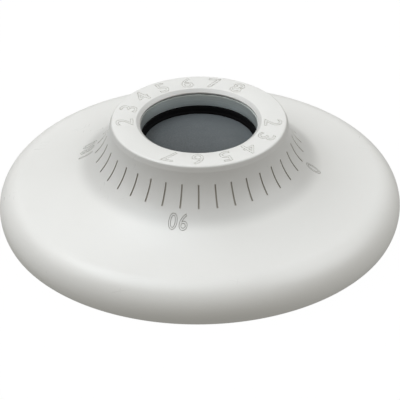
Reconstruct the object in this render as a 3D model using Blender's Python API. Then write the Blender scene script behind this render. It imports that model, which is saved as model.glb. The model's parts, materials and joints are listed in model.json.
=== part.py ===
"""Flush ceiling sprinkler head with a graduated, ratchet-indexed domed escutcheon.

The head stands on its rim: z = 0 is the ceiling plane and +Z is the side that faces the room.
Lengths below are in millimetres and are turned into metres by MM where a shape is made.
"""

import math

import bmesh
import bpy
from mathutils import Matrix, Vector

MM = 0.001
GAP = 0.3                      # clearance between pieces that touch

# ---- driving dimensions -------------------------------------------------------------------
ESCUTCHEON_R = 50.0            # outside radius of the rim
HUB_HEIGHT = 26.4              # ceiling plane to the flat face of the hub
HUB_R = 21.7                   # outside radius of the hub face
LIP_R = 14.9                   # bore of the white lip at the face
SHELL_WALL = 2.4
RIM_ROUND = 6.75               # radius of the rolled rim
RIM_ROUND_Z = 2.85             # height of the centre of that roll
COVE_SLOPE = math.radians(8.3)  # slope of the dome where it runs into the rim
COVE_TOP_PULL = 8.8            # length of the cove's handle at the hub wall
COVE_RIM_PULL = 14.5           # length of the cove's handle at the rim
LINER_IN = 14.4                # bore of the metal liner
LINER_OUT = 15.9
PLATE_R = 13.7                 # heat plate
NIPPLE_R = 10.3                # 1/2 inch pipe thread, outside
ORIFICE_R = 5.0
TEETH = 72                     # 5 degrees a click
RATCHET_R = 19.0
TOOTH_DEPTH = 0.9
DEFLECTOR_TRAVEL = 10.9

# ---- heights worked out from the face downwards ---------------------------------------------
LIP_Z = HUB_HEIGHT - 1.0       # underside of the lip
LINER_TOP = LIP_Z - GAP
SEAL_TOP = LINER_TOP - 3.3
SEAL_BOTTOM = SEAL_TOP - 1.9
CUP_TOP = SEAL_BOTTOM - GAP
HEAT_TOP = CUP_TOP + 0.1
HEAT_BOTTOM = HEAT_TOP - 1.0
WASHER_BOTTOM = HEAT_BOTTOM - GAP - 0.5
DEFLECTOR_TOP = WASHER_BOTTOM - 0.6
DEFLECTOR_BOTTOM = DEFLECTOR_TOP - 1.0
SCREW_TOP = DEFLECTOR_BOTTOM - GAP
GUIDE_TOP = DEFLECTOR_BOTTOM - 1.3
GUIDE_BOTTOM = GUIDE_TOP - 1.2
TUBE_END = 13.2                # lower end of the shell's inner tube
FLANGE_TOP = TUBE_END - GAP
FLANGE_BOTTOM = FLANGE_TOP - 1.3
RATCHET_TOP = FLANGE_BOTTOM - GAP
RATCHET_BOTTOM = RATCHET_TOP - 2.4
RETAINER_TOP = 6.4
RETAINER_BOTTOM = 5.2

# ---- radii of what sits inside ----------------------------------------------------------------
LINER_COUNTERBORE = 15.2
CUP_OUT = LINER_COUNTERBORE - GAP
CUP_IN = 14.0
ROD_CIRCLE = 11.9
ROD_R = 0.8
PIN_CIRCLE = 23.5
PIN_R = 1.2
PLATE_IN = 17.2                # retainer plate
PLATE_OUT = 44.3
SCREW_HOLE_R = 1.7
SNAP_OUT = 16.6
SNAP_LOW = 7.2
SNAP_HIGH = 7.8
BODY_R = 13.7                  # flange of the inlet body
PIN_LEAD = 22.0                # degrees from a pawl's tip to its pivot pin
PAWL_TIP_ANGLES = (0.0, 180.0)
SPRING_POST = (27.2, -0.6)     # plan position of a spring's post beside the pawl at angle 0
BOSS_CIRCLE = 36.0
BOSS_ANGLES = (45.0, 135.0, 225.0, 315.0)
ROD_ANGLES = (60.0, 180.0, 300.0)

MATERIALS = {
    "white_moulding": ((0.80, 0.80, 0.78), 0.45, 0.0),
    "satin_liner": ((0.36, 0.40, 0.40), 0.22, 1.0),
    "black_rubber": ((0.012, 0.012, 0.013), 0.6, 0.0),
    "heat_plate_metal": ((0.10, 0.115, 0.125), 0.38, 0.8),
    "brass": ((0.62, 0.46, 0.22), 0.35, 1.0),
    "bronze": ((0.50, 0.33, 0.19), 0.4, 1.0),
    "spring_steel": ((0.45, 0.45, 0.44), 0.3, 1.0),
    "zinc_plated": ((0.55, 0.56, 0.56), 0.35, 1.0),
    "grey_nylon": ((0.18, 0.18, 0.185), 0.5, 0.0),
    "solder": ((0.62, 0.62, 0.60), 0.5, 1.0),
    "foam": ((0.05, 0.05, 0.05), 0.9, 0.0),
    "insulator": ((0.42, 0.16, 0.08), 0.6, 0.0),
}


def clear_scene():
    """Remove every object that the scene starts with."""
    for old in list(bpy.data.objects):
        bpy.data.objects.remove(old, do_unlink=True)


def material(name):
    """Return the named material, made on first use."""
    found = bpy.data.materials.get(name)
    if found:
        return found
    colour, roughness, metallic = MATERIALS[name]
    made = bpy.data.materials.new(name)
    made.use_nodes = True
    shader = made.node_tree.nodes["Principled BSDF"]
    shader.inputs["Base Color"].default_value = (*colour, 1.0)
    shader.inputs["Roughness"].default_value = roughness
    shader.inputs["Metallic"].default_value = metallic
    return made


def finish(bm, name, finish_name=None):
    """Turn a bmesh into a named object with outward faces and smooth round sides."""
    bmesh.ops.recalc_face_normals(bm, faces=bm.faces)
    mesh = bpy.data.meshes.new(name)
    bm.to_mesh(mesh)
    bm.free()
    mesh.shade_smooth()
    mesh.set_sharp_from_angle(angle=math.radians(35))
    made = bpy.data.objects.new(name, mesh)
    bpy.context.collection.objects.link(made)
    if finish_name:
        mesh.materials.append(material(finish_name))
    return made


def spin(bm, outline, segments, closed=True):
    """Turn an outline of (radius, height) points once round the Z axis."""
    points = [bm.verts.new((radius * MM, 0.0, height * MM)) for radius, height in outline]
    pairs = list(zip(points, points[1:]))
    if closed:
        pairs.append((points[-1], points[0]))
    edges = [bm.edges.new(pair) for pair in pairs]
    bmesh.ops.spin(bm, geom=points + edges, cent=(0, 0, 0), axis=(0, 0, 1),
                   angle=math.tau, steps=segments, use_merge=True)
    bmesh.ops.remove_doubles(bm, verts=bm.verts, dist=0.00001)


def turned(name, outline, finish_name, segments=40, closed=True):
    """Make a ring from a closed outline, or a solid from one that starts and ends on the axis."""
    bm = bmesh.new()
    spin(bm, outline, segments, closed)
    return finish(bm, name, finish_name)


def add_prism(bm, corners, low, high):
    """Add a flat polygon of (x, y) corners, extruded from one height to another."""
    base = bm.faces.new([bm.verts.new((x * MM, y * MM, low * MM)) for x, y in corners])
    grown = bmesh.ops.extrude_face_region(bm, geom=[base])
    lifted = [item for item in grown["geom"] if isinstance(item, bmesh.types.BMVert)]
    bmesh.ops.translate(bm, verts=lifted, vec=(0, 0, (high - low) * MM))
    return lifted + list(base.verts)


def add_drum(bm, radius, low, high, spot=(0.0, 0.0), segments=16):
    """Add an upright cylinder at a spot given in the plan view."""
    place = Matrix.Translation((spot[0] * MM, spot[1] * MM, (low + high) / 2 * MM))
    bmesh.ops.create_cone(bm, cap_ends=True, segments=segments, radius1=radius * MM,
                          radius2=radius * MM, depth=(high - low) * MM, matrix=place)


def polar(radius, degrees):
    """Return the plan position at a radius and an angle."""
    angle = math.radians(degrees)
    return radius * math.cos(angle), radius * math.sin(angle)


def turn_plan(corners, degrees):
    """Turn plan corners about the head's axis."""
    angle = math.radians(degrees)
    cosine = math.cos(angle)
    sine = math.sin(angle)
    return [(x * cosine - y * sine, x * sine + y * cosine) for x, y in corners]


def combine(target, tool, operation):
    """Apply a Boolean with a hidden tool object."""
    tool.hide_render = True
    tool.display_type = "WIRE"
    modifier = target.modifiers.new(tool.name, "BOOLEAN")
    modifier.object = tool
    modifier.operation = operation
    modifier.solver = "EXACT"


def arc(centre, radius, start, end, steps):
    """List points of an arc from one angle to another, in degrees."""
    points = []
    for step in range(steps + 1):
        angle = math.radians(start + (end - start) * step / steps)
        points.append((centre[0] + radius * math.cos(angle), centre[1] + radius * math.sin(angle)))
    return points


# ---- escutcheon -----------------------------------------------------------------------------
def cove(steps):
    """List (radius, height) points of the dome's concave flank, from the hub wall to the rim."""
    top = Vector((HUB_R + 0.3, HUB_HEIGHT - 0.9))
    centre = Vector((ESCUTCHEON_R - RIM_ROUND, RIM_ROUND_Z))
    foot = centre + RIM_ROUND * Vector((math.sin(COVE_SLOPE), math.cos(COVE_SLOPE)))
    top_handle = top + Vector((1.0, -COVE_TOP_PULL))
    foot_handle = foot + COVE_RIM_PULL * Vector((-math.cos(COVE_SLOPE), math.sin(COVE_SLOPE)))
    points = []
    for step in range(steps + 1):
        t = step / steps
        near = (1 - t) ** 3 * top + 3 * (1 - t) ** 2 * t * top_handle
        points.append(near + 3 * (1 - t) * t * t * foot_handle + t ** 3 * foot)
    return points


def inset_curve(points, distance):
    """Move an outline that runs outwards and down to its inner side by a wall's thickness."""
    moved = []
    for index, point in enumerate(points):
        ahead = points[min(index + 1, len(points) - 1)]
        behind = points[max(index - 1, 0)]
        along = (ahead - behind).normalized()
        moved.append(point + distance * Vector((along.y, -along.x)))
    return moved


def shell_outline():
    """Outline of the escutcheon: face, cove, rolled rim, inner wall and inner tube."""
    centre = (ESCUTCHEON_R - RIM_ROUND, RIM_ROUND_Z)
    flank = cove(9)
    foot_angle = 90 - math.degrees(COVE_SLOPE)
    edge_angle = -math.degrees(math.asin(RIM_ROUND_Z / RIM_ROUND))
    outside = [(LIP_R, HUB_HEIGHT), (HUB_R - 0.6, HUB_HEIGHT), (HUB_R, HUB_HEIGHT - 0.5)]
    outside += [tuple(point) for point in flank[:-1]]
    outside += arc(centre, RIM_ROUND, foot_angle, 0.0, 4)
    outside += arc(centre, RIM_ROUND, 0.0, edge_angle, 1)[1:]
    inner_round = RIM_ROUND - SHELL_WALL
    inner_edge = -math.degrees(math.asin(RIM_ROUND_Z / inner_round))
    inside = arc(centre, inner_round, inner_edge, foot_angle, 3)
    wall = inset_curve(flank, SHELL_WALL)[2:-1]
    inside += [tuple(point) for point in reversed(wall)]
    ceiling_z = HUB_HEIGHT - 2.6
    tube_out = LINER_OUT + GAP + 2.0
    inside += [(wall[0].x - 0.5, ceiling_z), (tube_out, ceiling_z), (tube_out, TUBE_END)]
    inside += [(LINER_OUT + GAP, TUBE_END), (LINER_OUT + GAP, LIP_Z), (LIP_R - 0.35, LIP_Z)]
    return outside + inside


def pin_spot(tip_angle):
    """Plan position of the pivot of the pawl whose tip is at the given angle."""
    return polar(PIN_CIRCLE, tip_angle + PIN_LEAD)


def build_shell():
    """White shell with ribs, screw bosses, pivot bosses and spring posts inside."""
    shell = turned("escutcheon_shell", shell_outline(), "white_moulding", 48)
    bosses = bmesh.new()
    for angle in BOSS_ANGLES:
        add_drum(bosses, 3.0, RETAINER_TOP + GAP, 9.6, polar(BOSS_CIRCLE, angle))
    for angle in PAWL_TIP_ANGLES:
        add_drum(bosses, 2.6, RATCHET_TOP + GAP, 15.2, pin_spot(angle))
        post = turn_plan([SPRING_POST], angle)[0]
        add_drum(bosses, 1.9, RATCHET_BOTTOM, 13.4, post)
    rib = [(17.4, 14.2), (25.8, 14.2), (22.7, 19.0), (20.8, 23.9), (17.4, 23.9)]
    for index in range(8):
        corners = add_prism(bosses, rib, -0.6, 0.6)
        upright = Matrix.Rotation(math.radians(90), 4, "X")
        place = Matrix.Rotation(math.tau * index / 8, 4, "Z") @ upright
        bmesh.ops.transform(bosses, matrix=place, verts=corners)
    combine(shell, finish(bosses, "shell_bosses"), "UNION")
    holes = bmesh.new()
    for angle in BOSS_ANGLES:
        add_drum(holes, SCREW_HOLE_R, RETAINER_TOP, 9.2, polar(BOSS_CIRCLE, angle), 12)
    for angle in PAWL_TIP_ANGLES:
        add_drum(holes, PIN_R + GAP, RATCHET_TOP, 14.2, pin_spot(angle), 12)
        slot = spring_strip(1.0, reach=0.4)
        add_prism(holes, turn_plan(slot, angle), RATCHET_BOTTOM - GAP, RATCHET_TOP + GAP)
    combine(shell, finish(holes, "shell_holes"), "DIFFERENCE")


def build_retainer():
    """Steel ring that closes the back, held by four screws, with a foam ring under it."""
    plate = turned("retainer_plate", [(PLATE_IN, RETAINER_BOTTOM), (PLATE_IN, RETAINER_TOP),
                                      (PLATE_OUT, RETAINER_TOP), (PLATE_OUT, RETAINER_BOTTOM)],
                   "zinc_plated")
    holes = bmesh.new()
    for angle in BOSS_ANGLES:
        spot = polar(BOSS_CIRCLE, angle)
        add_drum(holes, SCREW_HOLE_R, RETAINER_BOTTOM - 1, RETAINER_TOP + 1, spot, 12)
    for angle in PAWL_TIP_ANGLES:
        add_drum(holes, PIN_R + GAP, RETAINER_BOTTOM - 1, RETAINER_TOP + 1, pin_spot(angle), 12)
    combine(plate, finish(holes, "retainer_holes"), "DIFFERENCE")
    for number, angle in enumerate(BOSS_ANGLES, 1):
        head = RETAINER_BOTTOM - GAP
        screw = turned(f"retainer_screw_{number}",
                       [(0, head - 1.6), (1.8, head - 1.6), (2.8, head - 0.9), (2.8, head),
                        (1.4, head), (1.4, 8.5), (1.0, 8.9), (0, 8.9)],
                       "zinc_plated", 16, closed=False)
        screw.location = Vector((*polar(BOSS_CIRCLE, angle), 0)) * MM
    turned("ceiling_gasket", [(39.6, 0.4), (39.6, RETAINER_BOTTOM - GAP),
                              (45.6, RETAINER_BOTTOM - GAP), (46.1, 2.6), (45.6, 0.4)], "foam")


# ---- ratchet --------------------------------------------------------------------------------
def build_ratchet():
    """Toothed ring, its wave washer and the snap ring that keeps it on the frame cup."""
    outer = []
    for tooth in range(TEETH):
        outer.append(polar(RATCHET_R - TOOTH_DEPTH, tooth * 360 / TEETH))
        outer.append(polar(RATCHET_R, (tooth + 0.5) * 360 / TEETH))
    bm = bmesh.new()
    add_prism(bm, outer, RATCHET_BOTTOM, RATCHET_TOP)
    ring = finish(bm, "ratchet_ring", "grey_nylon")
    bore = bmesh.new()
    add_drum(bore, CUP_OUT + GAP, RATCHET_BOTTOM - 1, RATCHET_TOP + 1, segments=48)
    combine(ring, finish(bore, "ratchet_bore"), "DIFFERENCE")

    washer = turned("wave_washer", [(17.4, 7.4), (17.4, 7.9), (18.9, 7.9), (18.9, 7.4)],
                    "spring_steel")
    for vertex in washer.data.vertices:
        angle = math.atan2(vertex.co.y, vertex.co.x)
        vertex.co.z += 0.6 * MM * math.cos(3 * angle)

    section = [(CUP_OUT - 0.15, SNAP_LOW), (CUP_OUT - 0.15, SNAP_HIGH),
               (SNAP_OUT, SNAP_HIGH), (SNAP_OUT, SNAP_LOW)]
    snap = turned("snap_ring", section, "spring_steel")
    opening = bmesh.new()
    gap = [(10, -1.2), (20, -1.2), (20, 1.2), (10, 1.2)]
    add_prism(opening, gap, SNAP_LOW - 0.7, SNAP_HIGH + 0.7)
    combine(snap, finish(opening, "snap_opening"), "DIFFERENCE")


def pawl_plan():
    """Plan outline of the pawl whose tip points at the ratchet ring at angle 0."""
    tip = RATCHET_R - TOOTH_DEPTH + GAP
    shoulder = RATCHET_R + 0.35
    pivot = pin_spot(0.0)
    outline = [(tip, 0.0), (shoulder, 0.88), (shoulder + 0.1, 7.9)]
    outline += arc(pivot, 2.4, 180, 0, 8)
    outline += [(21.9, 1.4), (20.9, -1.0), (shoulder, -0.88)]
    return outline


def spring_strip(thickness, reach=0.0):
    """Plan outline of the leaf spring behind the pawl at angle 0, or of the slot that holds it."""
    line = [(24.9, 9.3), (24.9, 7.0), (25.6, 3.6), (26.7, 0.6), (27.6, -1.6 - reach)]
    half = thickness / 2
    left = [(x - half, y) for x, y in line]
    right = [(x + half, y) for x, y in line]
    return left + right[::-1]


def build_pawls():
    """Two pawls on pivot pins, each pressed in by a leaf spring."""
    for number, angle in enumerate(PAWL_TIP_ANGLES, 1):
        pivot = Vector((*pin_spot(angle), 0)) * MM
        bm = bmesh.new()
        add_prism(bm, turn_plan(pawl_plan(), angle), RATCHET_BOTTOM, RATCHET_TOP)
        bmesh.ops.translate(bm, verts=bm.verts, vec=-pivot)
        pawl = finish(bm, f"pawl_{number}", "brass")
        pawl.location = pivot
        hole = bmesh.new()
        add_drum(hole, PIN_R + GAP, RATCHET_BOTTOM - 1, RATCHET_TOP + 1, segments=12)
        cutter = finish(hole, f"pawl_hole_{number}")
        cutter.location = pivot
        combine(pawl, cutter, "DIFFERENCE")
        pin = turned(f"pawl_pin_{number}", [(0, 5.4), (PIN_R, 5.4), (PIN_R, 13.6), (0, 13.6)],
                     "spring_steel", 12, closed=False)
        pin.location = pivot
        bm = bmesh.new()
        strip = turn_plan(spring_strip(0.35), angle)
        add_prism(bm, strip, RATCHET_BOTTOM + GAP, RATCHET_TOP - GAP)
        finish(bm, f"pawl_spring_{number}", "spring_steel")


# ---- core: liner, frame and waterway -----------------------------------------------------------
def build_core():
    """Everything that the escutcheon turns about."""
    shoulder = SEAL_TOP + GAP / 2
    turned("liner_sleeve",
           [(LINER_IN, LINER_TOP), (LINER_OUT, LINER_TOP), (LINER_OUT, FLANGE_TOP),
            (18.8, FLANGE_TOP), (18.8, FLANGE_BOTTOM), (LINER_COUNTERBORE, FLANGE_BOTTOM),
            (LINER_COUNTERBORE, shoulder), (LINER_IN, shoulder)], "satin_liner", 40)
    turned("seal_ring", [(14.2, SEAL_BOTTOM), (14.2, SEAL_TOP), (LINER_COUNTERBORE - 0.2, SEAL_TOP),
                         (LINER_COUNTERBORE - 0.2, SEAL_BOTTOM)], "black_rubber")

    cup = turned("frame_cup",
                 [(CUP_IN, 5.0), (CUP_OUT, 5.0), (CUP_OUT, SNAP_LOW - GAP),
                  (14.45, SNAP_LOW - GAP), (14.45, SNAP_HIGH + GAP), (CUP_OUT, SNAP_HIGH + GAP),
                  (CUP_OUT, CUP_TOP), (CUP_IN, CUP_TOP), (CUP_IN, GUIDE_TOP),
                  (7.0, GUIDE_TOP), (7.0, GUIDE_BOTTOM), (CUP_IN, GUIDE_BOTTOM)], "bronze")
    holes = bmesh.new()
    for angle in ROD_ANGLES:
        add_drum(holes, ROD_R + GAP, GUIDE_BOTTOM - 1, GUIDE_TOP + 1, polar(ROD_CIRCLE, angle), 12)
    combine(cup, finish(holes, "guide_holes"), "DIFFERENCE")

    body = turned("inlet_body",
                  [(7.4, 0.5), (9.6, 0.5), (NIPPLE_R, 1.4), (NIPPLE_R, 6.2), (BODY_R, 6.2),
                   (BODY_R, 8.2), (6.4, 8.2), (6.2, 8.9), (ORIFICE_R, 8.9), (ORIFICE_R, 4.0)],
                  "brass", 28)
    notches = bmesh.new()
    for angle in ROD_ANGLES:
        add_drum(notches, 1.7, 5.2, 9.2, polar(ROD_CIRCLE + 0.4, angle), 12)
    combine(body, finish(notches, "rod_notches"), "DIFFERENCE")

    crown_top = SCREW_TOP - 0.6
    crown_bottom = crown_top - 1.0
    bridge = turned("bridge",
                    [(9.8, 8.5), (9.8, 10.3), (6.7, 13.3), (6.7, crown_top), (3.7, crown_top),
                     (3.7, crown_bottom), (6.2, crown_bottom), (6.2, 13.1), (8.5, 10.9),
                     (8.5, 8.5)][::-1], "bronze", 28)
    windows = bmesh.new()
    for index in range(3):
        plan = [(5.0, -4.2), (11.0, -4.2), (11.0, 4.2), (5.0, 4.2)]
        add_prism(windows, turn_plan(plan, index * 120), 9.6, 13.2)
    combine(bridge, finish(windows, "bridge_windows"), "DIFFERENCE")

    turned("compression_screw", [(2.3, 13.9), (3.4, 13.9), (3.4, SCREW_TOP), (2.3, SCREW_TOP)],
           "brass", 24)
    turned("solder_sleeve", [(1.2, 14.0), (2.0, 14.0), (2.0, 15.5), (1.2, 15.5)], "solder", 20)


# ---- what is released by heat --------------------------------------------------------------------
def build_valve():
    """Cap, cone spring and strut that close the orifice."""
    turned("valve_cap",
           [(0, 8.2), (2.6, 8.2), (2.6, 9.9), (5.9, 9.9), (5.9, 10.7), (2.2, 10.7),
            (1.6, 10.9), (0, 10.9)], "bronze", 28, closed=False)
    turned("valve_disc_spring", [(2.9, 9.25), (2.9, 9.6), (5.8, 9.55), (5.8, 9.2)],
           "spring_steel", 28)
    turned("valve_strut", [(0, 11.2), (0.9, 11.2), (0.9, 15.5), (0, 15.5)], "bronze", 16,
           closed=False)


def build_deflector():
    """Tined deflector with three guide rods that stop it against the frame cup."""
    plate = turned("deflector", [(3.2, DEFLECTOR_BOTTOM), (3.2, DEFLECTOR_TOP),
                                 (13.4, DEFLECTOR_TOP), (13.4, DEFLECTOR_BOTTOM)], "bronze")
    cuts = bmesh.new()
    for index in range(12):
        plan = [(8.0, -0.7), (15.0, -0.9), (15.0, 0.9), (8.0, 0.7)]
        corners = turn_plan(plan, 15 + index * 30)
        add_prism(cuts, corners, DEFLECTOR_BOTTOM - 1, DEFLECTOR_TOP + 1)
    for angle in ROD_ANGLES:
        spot = polar(ROD_CIRCLE, angle)
        add_drum(cuts, ROD_R + GAP, DEFLECTOR_BOTTOM - 1, DEFLECTOR_TOP + 1, spot, 12)
    combine(plate, finish(cuts, "deflector_cuts"), "DIFFERENCE")
    head_top = GUIDE_BOTTOM - GAP - DEFLECTOR_TRAVEL
    for number, angle in enumerate(ROD_ANGLES, 1):
        rod = turned(f"guide_rod_{number}",
                     [(0, head_top - 1.0), (1.2, head_top - 1.0), (1.2, head_top),
                      (ROD_R, head_top), (ROD_R, DEFLECTOR_TOP + GAP),
                      (1.3, DEFLECTOR_TOP + GAP), (1.0, DEFLECTOR_TOP + 0.7),
                      (0, DEFLECTOR_TOP + 0.7)], "spring_steel", 12, closed=False)
        rod.location = Vector((*polar(ROD_CIRCLE, angle), 0)) * MM


def build_trigger():
    """Heat plate, insulating washer and stem, which fall away together."""
    turned("heat_plate",
           [(0, HEAT_BOTTOM), (PLATE_R - 0.3, HEAT_BOTTOM), (PLATE_R, HEAT_BOTTOM + 0.3),
            (PLATE_R, HEAT_TOP - 0.3), (PLATE_R - 0.3, HEAT_TOP), (0, HEAT_TOP)],
           "heat_plate_metal", 48, closed=False)
    turned("insulating_washer",
           [(1.6, WASHER_BOTTOM), (1.6, WASHER_BOTTOM + 0.5), (7.5, WASHER_BOTTOM + 0.5),
            (7.5, WASHER_BOTTOM)], "insulator", 28)
    collar = WASHER_BOTTOM - GAP
    turned("plunger_stem",
           [(0, 15.9), (1.1, 15.9), (1.5, 16.3), (1.5, collar - 0.6), (2.6, collar - 0.6),
            (2.6, collar), (1.2, collar), (1.2, WASHER_BOTTOM + 0.4),
            (0, WASHER_BOTTOM + 0.4)], "brass", 20, closed=False)


def main():
    """Build the whole head."""
    clear_scene()
    build_shell()
    build_retainer()
    build_ratchet()
    build_pawls()
    build_core()
    build_valve()
    build_deflector()
    build_trigger()


main()
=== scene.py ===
"""Looks of the flush ceiling sprinkler head: fine meshes, finishes, studio and camera.

Sizes are in millimetres unless a name or a docstring says otherwise, and MM turns them into metres.
The studio's distances are in metres, and so are the coordinates that the effects read. Every place
along the head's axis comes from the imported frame, and the scale's 0 mark lies on the X axis.
"""

import json
import logging
import math
from dataclasses import dataclass, field
from enum import Enum
from typing import Callable, Iterable, Sequence

import bmesh
import bpy
from mathutils import Matrix, Quaternion, Vector

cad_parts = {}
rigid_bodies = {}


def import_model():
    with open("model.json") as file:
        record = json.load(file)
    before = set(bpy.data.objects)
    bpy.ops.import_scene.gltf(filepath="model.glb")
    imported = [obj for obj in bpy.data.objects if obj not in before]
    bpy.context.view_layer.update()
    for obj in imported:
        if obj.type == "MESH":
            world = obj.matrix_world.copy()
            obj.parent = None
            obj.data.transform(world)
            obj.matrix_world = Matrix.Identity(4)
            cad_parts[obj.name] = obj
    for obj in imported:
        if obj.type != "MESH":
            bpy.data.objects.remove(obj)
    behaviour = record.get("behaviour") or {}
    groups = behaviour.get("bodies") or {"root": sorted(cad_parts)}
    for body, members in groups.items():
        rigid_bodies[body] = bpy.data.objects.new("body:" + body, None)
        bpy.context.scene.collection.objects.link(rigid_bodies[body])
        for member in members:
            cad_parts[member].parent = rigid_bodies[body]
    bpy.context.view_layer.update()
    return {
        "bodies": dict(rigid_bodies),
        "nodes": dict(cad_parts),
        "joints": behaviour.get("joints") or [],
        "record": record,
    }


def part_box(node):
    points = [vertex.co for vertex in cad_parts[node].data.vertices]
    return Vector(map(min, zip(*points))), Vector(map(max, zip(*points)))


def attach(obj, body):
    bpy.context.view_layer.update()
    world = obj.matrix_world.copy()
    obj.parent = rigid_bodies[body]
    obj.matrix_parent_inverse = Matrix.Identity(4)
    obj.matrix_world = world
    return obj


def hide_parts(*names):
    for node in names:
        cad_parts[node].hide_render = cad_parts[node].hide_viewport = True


LOG = logging.getLogger("sprinkler_head")
MM = 0.001
GAP = 0.3
SCREWS = (1, 2, 3, 4)
PAWLS = (1, 2)
ROD_CIRCLE = 11.9
ROD_ANGLES = (60.0, 180.0, 300.0)
Point = tuple[float, float]
Colour = tuple[float, float, float]


# ---------------------------------------------------------------------------------------------
# Mesh tools
# ---------------------------------------------------------------------------------------------
def arc(centre: Point, radius: float, start: float, end: float, steps: int) -> list[Point]:
    """List points along an arc.

    Args:
        centre: Middle of the arc.
        radius: Its radius.
        start: First angle, in degrees.
        end: Last angle, in degrees.
        steps: Number of stretches.

    Returns:
        The points, ends included.
    """
    points = []
    for step in range(steps + 1):
        angle = math.radians(start + (end - start) * step / steps)
        points.append((centre[0] + radius * math.cos(angle), centre[1] + radius * math.sin(angle)))
    return points


def polar(radius: float, degrees: float) -> Point:
    """Return the plan position at a radius and an angle."""
    angle = math.radians(degrees)
    return radius * math.cos(angle), radius * math.sin(angle)


def turned_plan(corners: Iterable[Point], degrees: float) -> list[Point]:
    """Turn plan corners about the head's axis.

    Args:
        corners: Plan points.
        degrees: How far to turn, anticlockwise seen from the room.

    Returns:
        The turned points.
    """
    cosine = math.cos(math.radians(degrees))
    sine = math.sin(math.radians(degrees))
    return [(x * cosine - y * sine, x * sine + y * cosine) for x, y in corners]


def lathe(outline: Sequence[Point], sectors: Sequence[tuple[float, int]],
          closed: bool = True) -> bmesh.types.BMesh:
    """Spin an outline about the head's axis, sector by sector.

    Args:
        outline: (radius, height) points.
        sectors: The angle in degrees and the number of steps of each sector, once round in all.
        closed: Whether the outline's last point joins its first.

    Returns:
        A closed mesh.
    """
    bm = bmesh.new()
    points = [bm.verts.new((radius * MM, 0.0, height * MM)) for radius, height in outline]
    pairs = list(zip(points, points[1:]))
    if closed:
        pairs.append((points[-1], points[0]))
    sweep = points + [bm.edges.new(pair) for pair in pairs]
    for degrees, steps in sectors:
        swept = bmesh.ops.spin(bm, geom=sweep, cent=(0, 0, 0), axis=(0, 0, 1),
                               angle=math.radians(degrees), steps=steps)
        sweep = [item for item in swept["geom_last"] if not isinstance(item, bmesh.types.BMFace)]
    bmesh.ops.remove_doubles(bm, verts=bm.verts, dist=0.000002)
    bmesh.ops.recalc_face_normals(bm, faces=bm.faces)
    return bm


def full_turn(steps: int) -> list[tuple[float, int]]:
    """Return one sector that goes once round in equal steps."""
    return [(360.0, steps)]


def eased(outline: Sequence[Point], width: float, closed: bool = True) -> list[Point]:
    """Round the corners of an outline.

    Args:
        outline: (radius, height) points.
        width: How far each round reaches along its sides.
        closed: Whether the last point joins the first. If not, both ends stay as they are.

    Returns:
        The outline with three points in place of each corner.
    """
    points = [Vector(point) for point in outline]
    rounded = []
    for index, point in enumerate(points):
        back = points[index - 1] - point
        ahead = points[(index + 1) % len(points)] - point
        is_end = not closed and index in (0, len(points) - 1)
        if is_end or back.angle(ahead) > math.radians(155):
            rounded.append(tuple(point))
            continue
        reach = min(width, 0.4 * back.length, 0.4 * ahead.length)
        start = point + back.normalized() * reach
        end = point + ahead.normalized() * reach
        rounded += [tuple(start), tuple((start + end + 2 * point) / 4), tuple(end)]
    return rounded


@dataclass(frozen=True)
class Thread:
    """A screw thread on the outside of a turned piece."""

    radius: float
    low: float
    high: float
    pitch: float
    depth: float

    def rows(self) -> list[Point]:
        """List outline points close enough together to carry the thread, from low to high."""
        count = round((self.high - self.low) / self.pitch * 8)
        return [(self.radius, self.low + (self.high - self.low) * row / count)
                for row in range(count + 1)]

    def cut(self, bm: bmesh.types.BMesh) -> None:
        """Sink the groove of the thread into a mesh that stands on the axis.

        Args:
            bm: Mesh to change.
        """
        for vertex in bm.verts:
            radius = math.hypot(vertex.co.x, vertex.co.y) / MM
            height = vertex.co.z / MM
            if abs(radius - self.radius) > 0.01 or not self.low < height < self.high:
                continue
            turn = math.atan2(vertex.co.y, vertex.co.x) / math.tau
            wave = abs(2 * ((height / self.pitch - turn) % 1.0) - 1)
            fade = min(1.0, (height - self.low) / self.pitch, (self.high - height) / self.pitch)
            share = 1 - self.depth * fade * (1 - wave) / self.radius
            vertex.co.x *= share
            vertex.co.y *= share


def add_prism(bm: bmesh.types.BMesh, corners: Sequence[Point], low: float,
              high: float) -> list[bmesh.types.BMVert]:
    """Add an extruded flat polygon.

    Args:
        bm: Mesh to add to.
        corners: Plan points of the polygon.
        low: Height of its lower face.
        high: Height of its upper face.

    Returns:
        Its corners.
    """
    base = bm.faces.new([bm.verts.new((x * MM, y * MM, low * MM)) for x, y in corners])
    grown = bmesh.ops.extrude_face_region(bm, geom=[base])
    lifted = [item for item in grown["geom"] if isinstance(item, bmesh.types.BMVert)]
    bmesh.ops.translate(bm, verts=lifted, vec=(0, 0, (high - low) * MM))
    return lifted + list(base.verts)


def add_drum(bm: bmesh.types.BMesh, radius: float, low: float, high: float,
             spot: Point = (0.0, 0.0), segments: int = 32) -> None:
    """Add an upright cylinder.

    Args:
        bm: Mesh to add to.
        radius: Radius of the cylinder.
        low: Height of its lower end.
        high: Height of its upper end.
        spot: Plan position of its middle.
        segments: Number of sides.
    """
    place = Matrix.Translation((spot[0] * MM, spot[1] * MM, (low + high) / 2 * MM))
    bmesh.ops.create_cone(bm, cap_ends=True, segments=segments, radius1=radius * MM,
                          radius2=radius * MM, depth=(high - low) * MM, matrix=place)


def soften(bm: bmesh.types.BMesh, width: float, degrees: float = 40.0, segments: int = 2) -> None:
    """Round every edge that is sharper than an angle.

    Args:
        bm: Mesh to change.
        width: Width of the round.
        degrees: Edges that turn less than this stay as they are.
        segments: Number of strips across the round.
    """
    sharp = [edge for edge in bm.edges if edge.is_manifold
             and edge.calc_face_angle(0.0) > math.radians(degrees)]
    bmesh.ops.bevel(bm, geom=sharp, offset=width * MM, offset_type="OFFSET", segments=segments,
                    profile=0.5, affect="EDGES", clamp_overlap=True, material=-1)


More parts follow.
